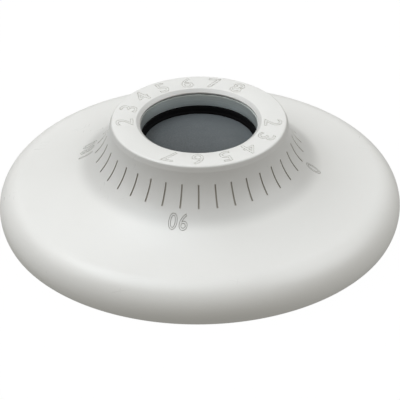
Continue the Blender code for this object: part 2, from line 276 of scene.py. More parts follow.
def to_object(bm: bmesh.types.BMesh, name: str, finish: bpy.types.Material | None = None,
              sharp: float = 40.0) -> bpy.types.Object:
    """Turn a mesh into an object at the origin.

    Args:
        bm: Mesh to use up.
        name: Name of the object.
        finish: Its material.
        sharp: Edges that turn more than this many degrees stay crisp.

    Returns:
        The new object.
    """
    mesh = bpy.data.meshes.new(name)
    bm.to_mesh(mesh)
    bm.free()
    mesh.shade_smooth()
    mesh.set_sharp_from_angle(angle=math.radians(sharp))
    if finish:
        mesh.materials.append(finish)
    made = bpy.data.objects.new(name, mesh)
    bpy.context.scene.collection.objects.link(made)
    return made


class Cut(Enum):
    """How a tool body changes the piece that it meets."""

    ADD = "UNION"
    REMOVE = "DIFFERENCE"


def carve(piece: bpy.types.Object, tools: Sequence[tuple[bpy.types.Object, Cut]],
          crossing: bool = False, sharp: float = 40.0) -> None:
    """Change a piece with tool bodies, and remove the tools.

    Args:
        piece: Piece to change.
        tools: Each tool body with what it does.
        crossing: Whether a tool body crosses itself.
        sharp: Edges that turn more than this many degrees stay crisp.
    """
    for tool, cut in tools:
        modifier = piece.modifiers.new(tool.name, "BOOLEAN")
        modifier.object = tool
        modifier.operation = cut.value
        modifier.solver = "EXACT"
        modifier.use_self = crossing
        modifier.material_mode = "TRANSFER"
    graph = bpy.context.evaluated_depsgraph_get()
    result = bpy.data.meshes.new_from_object(piece.evaluated_get(graph), depsgraph=graph)
    piece.modifiers.clear()
    piece.data = result
    for tool, _ in tools:
        bpy.data.objects.remove(tool, do_unlink=True)
    result.shade_smooth()
    result.set_sharp_from_angle(angle=math.radians(sharp))


# ---------------------------------------------------------------------------------------------
# Node tools and shared effects
# ---------------------------------------------------------------------------------------------
class Tree:
    """A node tree with short calls for the nodes that the finishes use."""

    def __init__(self, tree: bpy.types.NodeTree) -> None:
        """Wrap a node tree."""
        self.tree = tree

    def node(self, kind: str, **values: object) -> bpy.types.Node:
        """Add a node.

        Args:
            kind: Blender's name for the node.
            values: Properties to set on it.

        Returns:
            The node.
        """
        made = self.tree.nodes.new(kind)
        for name, value in values.items():
            setattr(made, name, value)
        return made

    def feed(self, socket: bpy.types.NodeSocket, value: object) -> None:
        """Link a socket to a source socket, or set its plain value."""
        if isinstance(value, bpy.types.NodeSocket):
            self.tree.links.new(value, socket)
        else:
            socket.default_value = value

    def place(self) -> bpy.types.NodeSocket:
        """Return the piece's own coordinates."""
        return self.node("ShaderNodeTexCoord").outputs["Object"]

    def noise(self, vector: object, scale: float, detail: float = 3.0,
              roughness: float = 0.5) -> bpy.types.NodeSocket:
        """Return a noise value from 0 to 1.

        Args:
            vector: Coordinates to read.
            scale: Waves per metre.
            detail: Octaves.
            roughness: Strength of the finer octaves.

        Returns:
            The noise.
        """
        made = self.node("ShaderNodeTexNoise")
        self.feed(made.inputs["Vector"], vector)
        self.feed(made.inputs["Scale"], scale)
        self.feed(made.inputs["Detail"], detail)
        self.feed(made.inputs["Roughness"], roughness)
        return made.outputs["Fac"]

    def span(self, value: object, low: float, high: float, to_low: float = 0.0,
             to_high: float = 1.0) -> bpy.types.NodeSocket:
        """Map a value from one span to another, with smooth ends.

        Args:
            value: Value to map.
            low: Start of the span it comes from.
            high: End of that span.
            to_low: Result at low.
            to_high: Result at high.

        Returns:
            The mapped value.
        """
        made = self.node("ShaderNodeMapRange", interpolation_type="SMOOTHSTEP")
        for name, number in (("Value", value), ("From Min", low), ("From Max", high),
                             ("To Min", to_low), ("To Max", to_high)):
            self.feed(made.inputs[name], number)
        return made.outputs["Result"]

    def maths(self, operation: str, first: object, second: object = 0.0) -> bpy.types.NodeSocket:
        """Combine two numbers with a Math node."""
        made = self.node("ShaderNodeMath", operation=operation)
        self.feed(made.inputs[0], first)
        self.feed(made.inputs[1], second)
        return made.outputs[0]

    def stretch(self, vector: object, scale: Sequence[float]) -> bpy.types.NodeSocket:
        """Scale coordinates along each axis."""
        made = self.node("ShaderNodeMapping")
        self.feed(made.inputs["Vector"], vector)
        made.inputs["Scale"].default_value = scale
        return made.outputs["Vector"]

    def blend(self, factor: object, first: object, second: object) -> bpy.types.NodeSocket:
        """Mix two colours.

        Args:
            factor: Share of the second.
            first: Colour at 0.
            second: Colour at 1.

        Returns:
            The mixed colour.
        """
        made = self.node("ShaderNodeMix", data_type="RGBA")
        self.feed(made.inputs["Factor"], factor)
        self.feed(made.inputs["A"], first)
        self.feed(made.inputs["B"], second)
        return made.outputs["Result"]

    def group(self, shared: bpy.types.NodeTree, **values: object) -> bpy.types.Node:
        """Place a shared effect.

        Args:
            shared: The effect's node group.
            values: Its inputs by name, with underscores for spaces.

        Returns:
            The group node.
        """
        made = self.node("ShaderNodeGroup", node_tree=shared)
        for name, value in values.items():
            self.feed(made.inputs[name.replace("_", " ")], value)
        return made


def shared_effect(name: str, inputs: dict[str, str], outputs: dict[str, str],
                  fill: Callable[[Tree, dict, dict], None]) -> bpy.types.NodeTree:
    """Make a shader node group once.

    Args:
        name: Name of the group.
        inputs: Socket type by input name.
        outputs: Socket type by output name.
        fill: Builds the inside from the wrapped tree, the input sockets and the output sockets.

    Returns:
        The group.
    """
    found = bpy.data.node_groups.get(name)
    if found:
        return found
    made = bpy.data.node_groups.new(name, "ShaderNodeTree")
    for label, kind in inputs.items():
        made.interface.new_socket(label, in_out="INPUT", socket_type=f"NodeSocket{kind}")
    for label, kind in outputs.items():
        made.interface.new_socket(label, in_out="OUTPUT", socket_type=f"NodeSocket{kind}")
    tree = Tree(made)
    fill(tree, tree.node("NodeGroupInput").outputs, tree.node("NodeGroupOutput").inputs)
    return made


def grain_effect() -> bpy.types.NodeTree:
    """Moulded or blasted grain: a fine height and a slow mottle."""

    def fill(tree: Tree, given: dict, result: dict) -> None:
        """Lay a fine and a medium noise over each other."""
        fine = tree.node("ShaderNodeTexNoise")
        tree.feed(fine.inputs["Vector"], given["Vector"])
        tree.feed(fine.inputs["Scale"], given["Scale"])
        fine.inputs["Detail"].default_value = 4.0
        medium = tree.node("ShaderNodeTexNoise")
        tree.feed(medium.inputs["Vector"], given["Vector"])
        tree.feed(medium.inputs["Scale"], tree.maths("MULTIPLY", given["Scale"], 0.21))
        height = tree.maths("MULTIPLY", medium.outputs["Fac"], 0.6)
        tree.feed(result["Height"], tree.maths("ADD", fine.outputs["Fac"], height))
        slow = tree.noise(given["Vector"], 38.0, 4.0, 0.6)
        tree.feed(result["Mottle"], tree.span(slow, 0.3, 0.7))

    return shared_effect("grain", {"Vector": "Vector", "Scale": "Float"},
                         {"Height": "Float", "Mottle": "Float"}, fill)


def turning_effect() -> bpy.types.NodeTree:
    """Tool marks of a lathe: fine rings about the head's axis, along faces and along walls."""

    def fill(tree: Tree, given: dict, result: dict) -> None:
        """Read one noise by radius and height, so that it is the same all the way round."""
        split = tree.node("ShaderNodeSeparateXYZ")
        tree.feed(split.inputs[0], given["Vector"])
        square = tree.maths("MULTIPLY", split.outputs["X"], split.outputs["X"])
        other = tree.maths("MULTIPLY", split.outputs["Y"], split.outputs["Y"])
        radius = tree.maths("SQRT", tree.maths("ADD", square, other))
        join = tree.node("ShaderNodeCombineXYZ")
        tree.feed(join.inputs["X"], radius)
        tree.feed(join.inputs["Y"], split.outputs["Z"])
        rings = tree.node("ShaderNodeTexNoise")
        tree.feed(rings.inputs["Vector"], join.outputs[0])
        tree.feed(rings.inputs["Scale"], given["Scale"])
        rings.inputs["Detail"].default_value = 5.0
        rings.inputs["Roughness"].default_value = 0.7
        tree.feed(result["Height"], rings.outputs["Fac"])
        tree.feed(result["Streak"], tree.span(rings.outputs["Fac"], 0.35, 0.65))

    return shared_effect("turning", {"Vector": "Vector", "Scale": "Float"},
                         {"Height": "Float", "Streak": "Float"}, fill)


def wear_effect() -> bpy.types.NodeTree:
    """Rubbed edges: a mask that is high where the surface is convex, broken by noise."""

    def fill(tree: Tree, given: dict, result: dict) -> None:
        """Sharpen the surface's pointiness and break it up."""
        point = tree.node("ShaderNodeNewGeometry").outputs["Pointiness"]
        edge = tree.span(point, 0.515, 0.60)
        patch = tree.span(tree.noise(given["Vector"], 420.0, 5.0, 0.6), 0.35, 0.7)
        mask = tree.maths("MULTIPLY", edge, patch)
        tree.feed(result["Mask"], tree.maths("MULTIPLY", mask, given["Amount"]))

    return shared_effect("edge_wear", {"Vector": "Vector", "Amount": "Float"},
                         {"Mask": "Float"}, fill)


def dust_effect() -> bpy.types.NodeTree:
    """A thin layer of dust on what faces up, and in patches elsewhere."""

    def fill(tree: Tree, given: dict, result: dict) -> None:
        """Mix the upward share of the normal with a slow and a speckled noise."""
        split = tree.node("ShaderNodeSeparateXYZ")
        tree.feed(split.inputs[0], tree.node("ShaderNodeNewGeometry").outputs["Normal"])
        upward = tree.span(split.outputs["Z"], -0.1, 1.0, 0.25, 1.0)
        cloud = tree.span(tree.noise(given["Vector"], 60.0, 5.0, 0.65), 0.42, 0.75)
        speck = tree.span(tree.noise(given["Vector"], 1500.0, 2.0), 0.62, 0.72)
        specks = tree.maths("MULTIPLY", speck, 0.5)
        dust_film_and_painted_shade = tree.maths("ADD", tree.maths("MULTIPLY", cloud, 0.7), specks)
        mask = tree.maths("MULTIPLY", tree.maths("MULTIPLY", dust_film_and_painted_shade, upward), given["Amount"])
        tree.feed(result["Mask"], mask)

    return shared_effect("dust", {"Vector": "Vector", "Amount": "Float"}, {"Mask": "Float"}, fill)


def painted_shade_effect() -> bpy.types.NodeTree:
    """Painted shade: a faint darkening around the foot of the hub and on the lip, where the hub and
    the bore throw shade.

    The edges of its bands are radii in millimetres.
    """
    lip_edge, hub_edge, foot_edge = (15.3, 15.6), (21.3, 21.8), (27.8, 31.5)

    def fill(tree: Tree, given: dict, result: dict) -> None:
        """Keep two bands around the axis, with a slow noise in the outer one's edge."""
        flat = tree.node("ShaderNodeVectorMath", operation="MULTIPLY")
        tree.feed(flat.inputs[0], given["Vector"])
        flat.inputs[1].default_value = (1 / MM, 1 / MM, 0.0)
        length = tree.node("ShaderNodeVectorMath", operation="LENGTH")
        tree.feed(length.inputs[0], flat.outputs["Vector"])
        radius = length.outputs["Value"]
        ragged = tree.maths("ADD", radius, tree.noise(given["Vector"], 40.0, 2.0))
        foot = tree.maths("MULTIPLY", tree.span(ragged, *foot_edge, 1.0, 0.0),
                          tree.span(radius, *hub_edge))
        band = tree.maths("MAXIMUM", foot, tree.span(radius, *lip_edge, 1.0, 0.0))
        tree.feed(result["Mask"], tree.maths("MULTIPLY", band, given["Amount"]))

    return shared_effect("dust_film_and_painted_shade", {"Vector": "Vector", "Amount": "Float"}, {"Mask": "Float"}, fill)


def painted_side_shade_effect() -> bpy.types.NodeTree:
    """Painted shade on a plated disc: darker towards one side, with a fine speckle."""

    def fill(tree: Tree, given: dict, result: dict) -> None:
        """Grow along a slanting line across the disc and break it up with fine noise."""
        along = tree.node("ShaderNodeVectorMath", operation="DOT_PRODUCT")
        tree.feed(along.inputs[0], given["Vector"])
        along.inputs[1].default_value = (-28.0, -60.0, 0.0)
        speck = tree.maths("MULTIPLY", tree.noise(given["Vector"], 2600.0, 2.0, 0.7), 1.5)
        slope = tree.maths("ADD", along.outputs["Value"], speck)
        share = tree.span(slope, -0.2, 1.8)
        tree.feed(result["Mask"], tree.maths("MULTIPLY", share, given["Amount"]))

    return shared_effect("painted_side_shade", {"Vector": "Vector", "Amount": "Float"},
                         {"Mask": "Float"}, fill)


def scuff_effect() -> bpy.types.NodeTree:
    """Hair-fine scratches in two directions, as handling leaves them."""

    def fill(tree: Tree, given: dict, result: dict) -> None:
        """Stretch a noise two ways and keep only its thin peaks."""
        masks = []
        for scale in ((60.0, 2400.0, 300.0), (2100.0, 90.0, 500.0)):
            lines = tree.noise(tree.stretch(given["Vector"], scale), 1.0, 2.0)
            masks.append(tree.span(lines, 0.66, 0.72))
        both = tree.maths("MAXIMUM", masks[0], masks[1])
        patch = tree.span(tree.noise(given["Vector"], 90.0, 3.0), 0.5, 0.65)
        tree.feed(result["Mask"], tree.maths("MULTIPLY", both, patch))

    return shared_effect("scuffs", {"Vector": "Vector"}, {"Mask": "Float"}, fill)


# ---------------------------------------------------------------------------------------------
# Finishes
# ---------------------------------------------------------------------------------------------
DUST_COLOUR: Colour = (0.5, 0.48, 0.45)
# Colour that the painted shade in the white moulding darkens towards.
PAINTED_SHADE_BLACK: Colour = (0.0, 0.0, 0.0)


def rgba(colour: Colour, share: float = 1.0) -> tuple[float, float, float, float]:
    """Return a colour with full alpha, made darker or lighter by a share."""
    return (*(min(1.0, channel * share) for channel in colour), 1.0)


@dataclass(frozen=True)
class Moulded:
    """Moulded plastic, rubber or foam: grain, a slow mottle, dust, scuffs and optional painted
    shade.
    """

    name: str
    colour: Colour
    roughness: float
    grain_scale: float = 2600.0
    grain_height: float = 0.000004
    dust: float = 0.12
    dust_colour: Colour = (0.55, 0.53, 0.49)
    mottle: float = 0.03
    specular: float = 0.5
    wear: float = 0.0
    # Strength of the painted shade around the foot of the hub and on the lip; 0 leaves it out.
    dust_film_and_painted_shade: float = 0.0

    def make(self) -> bpy.types.Material:
        """Build the material."""
        material = bpy.data.materials.new(self.name)
        material.use_nodes = True
        tree = Tree(material.node_tree)
        shader = material.node_tree.nodes["Principled BSDF"]
        place = tree.place()
        grain = tree.group(grain_effect(), Vector=place, Scale=self.grain_scale)
        dust = tree.group(dust_effect(), Vector=place, Amount=self.dust).outputs["Mask"]
        scuff = tree.group(scuff_effect(), Vector=place).outputs["Mask"]
        wear = tree.group(wear_effect(), Vector=place, Amount=self.wear).outputs["Mask"]
        base = tree.blend(grain.outputs["Mottle"], rgba(self.colour, 1 - self.mottle),
                          rgba(self.colour, 1 + self.mottle))
        worn = tree.blend(wear, base, rgba(self.colour, 1.6))
        dust_and_painted_shade = tree.blend(dust, worn, rgba(self.dust_colour))
        # Painted shade: darken towards black around the foot of the hub and on the lip.
        if self.dust_film_and_painted_shade:
            dust_film_and_painted_shade = tree.group(painted_shade_effect(), Vector=place, Amount=self.dust_film_and_painted_shade).outputs["Mask"]
            dust_and_painted_shade = tree.blend(dust_film_and_painted_shade, dust_and_painted_shade, rgba(PAINTED_SHADE_BLACK))
        tree.feed(shader.inputs["Base Color"], dust_and_painted_shade)
        spread = tree.span(grain.outputs["Mottle"], 0.0, 1.0, self.roughness - 0.04,
                           self.roughness + 0.04)
        dulled = tree.maths("ADD", spread, tree.maths("MULTIPLY", dust, 0.3))
        tree.feed(shader.inputs["Roughness"],
                  tree.maths("SUBTRACT", dulled, tree.maths("MULTIPLY", scuff, 0.1)))
        shader.inputs["Specular IOR Level"].default_value = self.specular
        bump = tree.node("ShaderNodeBump")
        bump.inputs["Strength"].default_value = 1.0
        bump.inputs["Distance"].default_value = self.grain_height
        tree.feed(bump.inputs["Height"], tree.maths("SUBTRACT", grain.outputs["Height"], scuff))
        tree.feed(shader.inputs["Normal"], bump.outputs["Normal"])
        return material


@dataclass(frozen=True)
class Metal:
    """Turned, rolled or plated metal: tool rings, tarnish, bright rubbed edges, dust and optional
    painted shade.
    """

    name: str
    colour: Colour
    roughness: float
    metallic: float = 1.0
    ring_scale: float = 5200.0
    ring_height: float = 0.000003
    tarnish: Colour = (0.2, 0.18, 0.15)
    tarnish_share: float = 0.25
    edge: Colour = (0.8, 0.8, 0.78)
    edge_share: float = 0.6
    dust: float = 0.06
    # Strength of the painted shade that darkens one side of the piece; 0 leaves it out.
    painted_side_shade: float = 0.0

    def make(self) -> bpy.types.Material:
        """Build the material."""
        material = bpy.data.materials.new(self.name)
        material.use_nodes = True
        tree = Tree(material.node_tree)
        shader = material.node_tree.nodes["Principled BSDF"]
        place = tree.place()
        rings = tree.group(turning_effect(), Vector=place, Scale=self.ring_scale)
        wear = tree.group(wear_effect(), Vector=place, Amount=self.edge_share).outputs["Mask"]
        dust = tree.group(dust_effect(), Vector=place, Amount=self.dust).outputs["Mask"]
        scuff = tree.group(scuff_effect(), Vector=place).outputs["Mask"]
        cloud = tree.span(tree.noise(place, 130.0, 5.0, 0.6), 0.4, 0.75)
        aged = tree.maths("MULTIPLY", cloud, self.tarnish_share)
        streaked = tree.blend(rings.outputs["Streak"], rgba(self.colour, 0.93),
                              rgba(self.colour, 1.07))
        base = tree.blend(aged, streaked, rgba(self.tarnish))
        # Painted shade: darken the colour along a slanting line across the piece.
        if self.painted_side_shade:
            share = tree.group(painted_side_shade_effect(), Vector=place, Amount=self.painted_side_shade)
            base = tree.blend(share.outputs["Mask"], base, rgba(self.colour, 0.3))
        rubbed = tree.blend(wear, base, rgba(self.edge))
        tree.feed(shader.inputs["Base Color"], tree.blend(dust, rubbed, rgba(DUST_COLOUR)))
        rough = tree.span(rings.outputs["Streak"], 0.0, 1.0, self.roughness - 0.05,
                          self.roughness + 0.06)
        rough = tree.maths("ADD", rough, tree.maths("MULTIPLY", aged, 0.5))
        rough = tree.maths("ADD", rough, tree.maths("MULTIPLY", scuff, 0.12))
        tree.feed(shader.inputs["Roughness"],
                  tree.maths("ADD", rough, tree.maths("MULTIPLY", dust, 0.6)))
        shader.inputs["Metallic"].default_value = self.metallic
        bump = tree.node("ShaderNodeBump")
        bump.inputs["Strength"].default_value = 1.0
        bump.inputs["Distance"].default_value = self.ring_height
        tree.feed(bump.inputs["Height"], tree.maths("SUBTRACT", rings.outputs["Height"], scuff))
        tree.feed(shader.inputs["Normal"], bump.outputs["Normal"])
        return material


FINISHES: tuple[Moulded | Metal, ...] = (
    # The white moulding carries painted shade around the foot of the hub and on the lip.
    Moulded("white_moulding", (0.68, 0.684, 0.682), 0.34, 3400.0, 0.0000015, 0.08,
            (0.58, 0.575, 0.55), 0.01, dust_film_and_painted_shade=0.2),
    Moulded("scale_fill", (0.36, 0.345, 0.315), 0.7, 3000.0, 0.000006, 0.2),
    Moulded("engraving", (0.62, 0.62, 0.60), 0.6, 3000.0, 0.000004, 0.2),
    Moulded("scale_engraving", (0.40, 0.40, 0.38), 0.6, 3000.0, 0.000004, 0.2),
    Moulded("black_rubber", (0.002, 0.002, 0.0025), 0.7, 2400.0, 0.000008, 0.002, mottle=0.2,
            specular=0.1),
    Moulded("grey_nylon", (0.16, 0.16, 0.165), 0.48, 2800.0, 0.000005, 0.1, wear=0.3),
    Moulded("foam", (0.035, 0.035, 0.037), 0.95, 1500.0, 0.00012, 0.1, specular=0.2, mottle=0.25),
    Moulded("insulator", (0.36, 0.13, 0.06), 0.62, 2200.0, 0.00001, 0.1, mottle=0.2),
    Metal("satin_liner", (0.78, 0.83, 0.825), 0.36, 0.9, ring_height=0.0000008,
          edge=(0.95, 0.96, 0.95), tarnish_share=0.06, tarnish=(0.5, 0.5, 0.5)),
    # The heat plate carries painted shade, darker towards one side.
    Metal("heat_plate_metal", (0.112, 0.127, 0.138), 0.62, 0.25, 9000.0, 0.000005,
          (0.09, 0.105, 0.115), 0.3, (0.4, 0.43, 0.46), 0.3, painted_side_shade=0.85),
    Metal("brass", (0.66, 0.48, 0.22), 0.30, tarnish=(0.28, 0.17, 0.07), edge=(0.85, 0.7, 0.4)),
    Metal("bronze", (0.50, 0.31, 0.17), 0.36, tarnish=(0.17, 0.10, 0.06), edge=(0.75, 0.5, 0.32)),
    Metal("spring_steel", (0.46, 0.46, 0.45), 0.27, tarnish=(0.22, 0.2, 0.19)),
    Metal("zinc_plated", (0.56, 0.57, 0.58), 0.38, tarnish=(0.42, 0.40, 0.33), tarnish_share=0.5),
    Metal("solder", (0.60, 0.60, 0.58), 0.5, tarnish=(0.3, 0.3, 0.3)),
)


class Workshop:
    """Gives out the finishes and puts pieces on their bodies."""

    def __init__(self, frame: dict) -> None:
        """Keep the frame, look up where each node belongs and make every finish."""
        self.frame = frame
        groups = frame["record"]["behaviour"]["bodies"].items()
        self.bodies = {node: body for body, nodes in groups for node in nodes}
        self.slots = {entry["node"]: entry["material_slot"]
                      for entry in frame["record"]["subparts"]}
        self.finishes = {finish.name: finish.make() for finish in FINISHES}

    def finish(self, name: str) -> bpy.types.Material:
        """Return a finish by name."""
        return self.finishes[name]

    def heights(self, node: str) -> Point:
        """Return a CAD node's lowest and highest point, in millimetres."""
        low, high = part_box(node)
        return low[2] / MM, high[2] / MM

    def radius(self, node: str) -> float:
        """Return the outside radius of a CAD node that is centred on the axis."""
        low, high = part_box(node)
        return (high[0] - low[0]) / 2 / MM

    def middle(self, node: str) -> Point:
        """Return the plan position of a CAD node's middle."""
        low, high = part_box(node)
        return (low[0] + high[0]) / 2 / MM, (low[1] + high[1]) / 2 / MM

    def install(self, piece: bpy.types.Object, node: str) -> None:
        """Put a piece on its body in place of a CAD node.

        Args:
            piece: The fine piece.
            node: CAD node that it stands for.
        """
        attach(piece, self.bodies[node])
        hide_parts(node)
        LOG.info("%s: %d faces on %s", piece.name, len(piece.data.polygons), self.bodies[node])

    def fit(self, bm: bmesh.types.BMesh, node: str, sharp: float = 40.0) -> bpy.types.Object:
        """Turn a mesh into the fine piece of a CAD node.

        Args:
            bm: Mesh to use up.
            node: CAD node that it stands for.
            sharp: Edges that turn more than this many degrees stay crisp.

        Returns:
            The piece.
        """
        piece = to_object(bm, f"{node}_fine", self.finish(self.slots[node]), sharp)
        self.install(piece, node)
        return piece

    def turn(self, node: str, outline: Sequence[Point], steps: int = 96, ease: float = 0.15,
             closed: bool = True, thread: Thread | None = None) -> bpy.types.Object:
        """Turn the fine piece of a CAD node on its own upright axis.

        Args:
            node: CAD node that it stands for.
            outline: (radius, height) points.
            steps: Steps once round.
            ease: Width of the rounds at its corners.
            closed: Whether the outline's last point joins its first.
            thread: Thread to cut on it.

        Returns:
            The piece.
        """
        bm = lathe(eased(outline, ease, closed), full_turn(steps), closed)
        if thread:
            thread.cut(bm)
        spot = self.middle(node)
        bmesh.ops.translate(bm, verts=bm.verts, vec=(spot[0] * MM, spot[1] * MM, 0))
        return self.fit(bm, node)

    def sink(self, piece: bpy.types.Object, bm: bmesh.types.BMesh, finish: str,
             crossing: bool = False, sharp: float = 40.0) -> None:
        """Cut a tool body out of a piece.

        Args:
            piece: Piece to cut.
            bm: Mesh of the tool, to use up.
            finish: Finish of the cut faces.
            crossing: Whether the tool crosses itself.
            sharp: Edges that turn more than this many degrees stay crisp.
        """
        bmesh.ops.recalc_face_normals(bm, faces=bm.faces)
        tool = to_object(bm, "tool", self.finish(finish))
        carve(piece, [(tool, Cut.REMOVE)], crossing, sharp)

    def dress(self, node: str, finish: str) -> None:
        """Give a CAD node that stays its finish."""
        piece = self.frame["nodes"][node]
        for place in piece.material_slots:
            place.material = self.finish(finish)
        LOG.info("%s: dressed in %s", node, finish)


# ---------------------------------------------------------------------------------------------
# Escutcheon
# ---------------------------------------------------------------------------------------------
@dataclass
class Figure:
    """An engraved figure: its text, its size and where its middle stands.

    The width is a share of the lettering's usual width.
    """

    text: str
    angle: float
    radius: float
    height: float
    width: float


@dataclass
class Escutcheon:
    """White dome with its degree scale, engraved figures, ribs and bosses."""

    shop: Workshop
    hub_radius: float = 21.7
    hub_corner: float = 0.6
    lip_radius: float = 14.9
    lip_flare: float = 0.55
    lip_drop: float = 0.34
    liner_out: float = 15.9
    tube_foot: float = 13.2
    face_thickness: float = 2.6
    wall: float = 2.4
    rim_round: float = 6.75
    rim_round_height: float = 2.85
    rim_slope: float = 8.3
    cove_top_pull: float = 8.8
    cove_rim_pull: float = 14.5
    tick_inner: float = 22.8
    tick_outer: float = 25.8
    tick_width: float = 0.4
    tick_depth: float = 0.28
    ticks: int = 36
    line_width: float = 0.2
    line_depth: float = 0.22
    figure_height: float = 4.2
    face_figure_width: float = 1.1
    scale_figure_width: float = 0.76
    scale_figure_radius: float = 28.4
    scale_figures: dict[str, float] = field(
        default_factory=lambda: {"0": 1.5, "90": -90.0, "180": 180.0, "270": 90.0})
    flank: list[Vector] = field(default_factory=list)

    def __post_init__(self) -> None:
        """Read the overall sizes from the frame and draw the flank."""
        self.height = self.shop.heights("escutcheon_shell")[1]
        self.radius = self.shop.radius("escutcheon_shell")
        self.rim_centre = (self.radius - self.rim_round, self.rim_round_height)
        self.flank = self.draw_flank(72)

    def draw_flank(self, steps: int) -> list[Vector]:
        """List points of the concave flank, from under the hub's edge to the rim.

        Args:
            steps: Number of stretches.

        Returns:
            (radius, height) points along one cubic curve.
        """
        slope = math.radians(self.rim_slope)
        top = Vector((self.hub_radius + 0.3, self.height - 0.9))
        foot = Vector(self.rim_centre) + self.rim_round * Vector((math.sin(slope), math.cos(slope)))
        upper = top + Vector((1.0, -self.cove_top_pull))
        lower = foot + self.cove_rim_pull * Vector((-math.cos(slope), math.sin(slope)))
        points = []
        for step in range(steps + 1):
            t = step / steps
            near = (1 - t) ** 3 * top + 3 * (1 - t) ** 2 * t * upper
            points.append(near + 3 * (1 - t) * t * t * lower + t ** 3 * foot)
        return points

    def on_flank(self, radius: float, along: float) -> tuple[Vector, Vector]:
        """Find a point of the flank.

        Args:
            radius: Radius to start from.
            along: Distance to go from there down the flank, negative for up.

        Returns:
            The (radius, height) point and the outward normal there.
        """
        points = self.flank
        lengths = [0.0]
        for near, far in zip(points, points[1:]):
            lengths.append(lengths[-1] + (far - near).length)
        start = next(i for i, point in enumerate(points) if point.x > radius)
        share = (radius - points[start - 1].x) / (points[start].x - points[start - 1].x)
        target = lengths[start - 1] + share * (lengths[start] - lengths[start - 1]) + along
        index = next(i for i, length in enumerate(lengths) if length > target)
        share = (target - lengths[index - 1]) / (lengths[index] - lengths[index - 1])
        spot = points[index - 1].lerp(points[index], share)
        direction = (points[index] - points[index - 1]).normalized()
        return spot, Vector((-direction.y, direction.x))

    def outline(self) -> list[Point]:
        """Draw the whole cross-section: face, flank, rolled rim, inner wall and inner tube."""
        flank = [tuple(point) for point in self.flank]
        for radius in (self.tick_inner, self.tick_outer):
            index = min(range(len(flank)), key=lambda i: abs(flank[i][0] - radius))
            flank[index] = tuple(self.on_flank(radius, 0.0)[0])
        top_angle = 90 - self.rim_slope
        edge_angle = -math.degrees(math.asin(self.rim_round_height / self.rim_round))
        edge = self.hub_radius - self.hub_corner
        points = [(self.lip_radius + self.lip_flare, self.height), (edge, self.height)]
        points += arc((edge, self.height - self.hub_corner), self.hub_corner, 75, 0, 6)
        points += flank[1:-1]
        points += arc(self.rim_centre, self.rim_round, top_angle, edge_angle, 30)
        inner_round = self.rim_round - self.wall
        inner_edge = -math.degrees(math.asin(self.rim_round_height / inner_round))
        points += [(points[-1][0] - 0.15, 0.0)]
        points += arc(self.rim_centre, inner_round, inner_edge, top_angle, 12)
        for index in range(60, 6, -5):
            spot, normal = self.flank[index], self.flank[index + 1] - self.flank[index - 1]
            normal.normalize()
            points.append((spot.x + normal.y * self.wall, spot.y - normal.x * self.wall))
        liner = self.shop.heights("liner_sleeve")[1] + GAP
        tube = self.liner_out + GAP
        ceiling = self.height - self.face_thickness
        throat = self.lip_radius - 0.35
        points += [(points[-1][0] - 0.5, ceiling), (tube + 2.0, ceiling),
                   (tube + 2.0, self.tube_foot), (tube, self.tube_foot), (tube, liner),
                   (throat, liner), (throat, liner + 0.3),
                   (self.lip_radius + 0.1, self.height - self.lip_drop),
                   (self.lip_radius + self.lip_flare - 0.1, self.height - 0.06)]
        return points

    def blank(self) -> bpy.types.Object:
        """Turn the shell with a narrow column under each mark, and sink the marks."""
        half = math.degrees(self.tick_width / 2 / ((self.tick_inner + self.tick_outer) / 2))
        pitch = 360 / self.ticks
        sectors = [(pitch / 2 - half, 4)]
        sectors += [(2 * half, 1), (pitch - 2 * half, 7)] * (self.ticks - 1)
        sectors += [(2 * half, 1), (pitch / 2 - half, 4)]
        bm = lathe(self.outline(), sectors)
        bmesh.ops.rotate(bm, verts=bm.verts, cent=(0, 0, 0),
                         matrix=Matrix.Rotation(math.radians(pitch / 2), 3, "Z"))
        marks = [face for face in bm.faces if self.is_mark(face, half, pitch)]
        inner = bmesh.ops.inset_region(bm, faces=marks, thickness=0.03 * MM,
                                       depth=-self.tick_depth * MM, use_even_offset=True,
                                       use_boundary=True)
        for face in marks + inner["faces"]:
            face.material_index = 1
        shell = to_object(bm, "escutcheon_fine", self.shop.finish("white_moulding"))
        shell.data.materials.append(self.shop.finish("scale_fill"))
        return shell

    def is_mark(self, face: bmesh.types.BMFace, half: float, pitch: float) -> bool:
        """Tell whether a face of the flank lies in a mark.

        Args:
            face: Face to test.
            half: Half the mark's angle, in degrees.
            pitch: Angle between marks, in degrees.

        Returns:
            True if it does.
        """
        middle = face.calc_center_median()
        radius = math.hypot(middle.x, middle.y) / MM
        if not self.tick_inner < radius < self.tick_outer or face.normal.z < 0.2:
            return False
        turn = math.degrees(math.atan2(middle.y, middle.x)) / pitch
        return abs(turn - round(turn)) * pitch < half

    def lettering(self, figure: Figure) -> bmesh.types.BMesh:
        """Make a round-ended cutter's path along the outlines of a figure.

        Args:
            figure: The figure, laid flat with its middle on the origin.

        Returns:
            The swept path, in millimetres.
        """
        text = bpy.data.curves.new("figure", "FONT")
        text.body = figure.text
        text.size = figure.height / 0.69
        text.align_x = "CENTER"
        text.space_character = 1.12
        text.fill_mode = "NONE"
        text.bevel_depth = self.line_width / 2
        text.bevel_resolution = 1
        text.resolution_u = 4
        holder = bpy.data.objects.new("figure", text)
        bpy.context.scene.collection.objects.link(holder)
        graph = bpy.context.evaluated_depsgraph_get()
        mesh = bpy.data.meshes.new_from_object(holder.evaluated_get(graph))
        bm = bmesh.new()
        bm.from_mesh(mesh)
        bpy.data.objects.remove(holder, do_unlink=True)
        bpy.data.meshes.remove(mesh)
        bmesh.ops.remove_doubles(bm, verts=bm.verts, dist=0.0005)
        bmesh.ops.translate(bm, verts=bm.verts, vec=(0, -figure.height / 2, 0))
        deepen = self.line_depth * 2 / self.line_width
        bmesh.ops.scale(bm, verts=bm.verts, vec=(figure.width, 1, deepen))
        long = [edge for edge in bm.edges if edge.calc_length() > 0.7]
        bmesh.ops.subdivide_edges(bm, edges=long, cuts=4, use_grid_fill=True)
        return bm

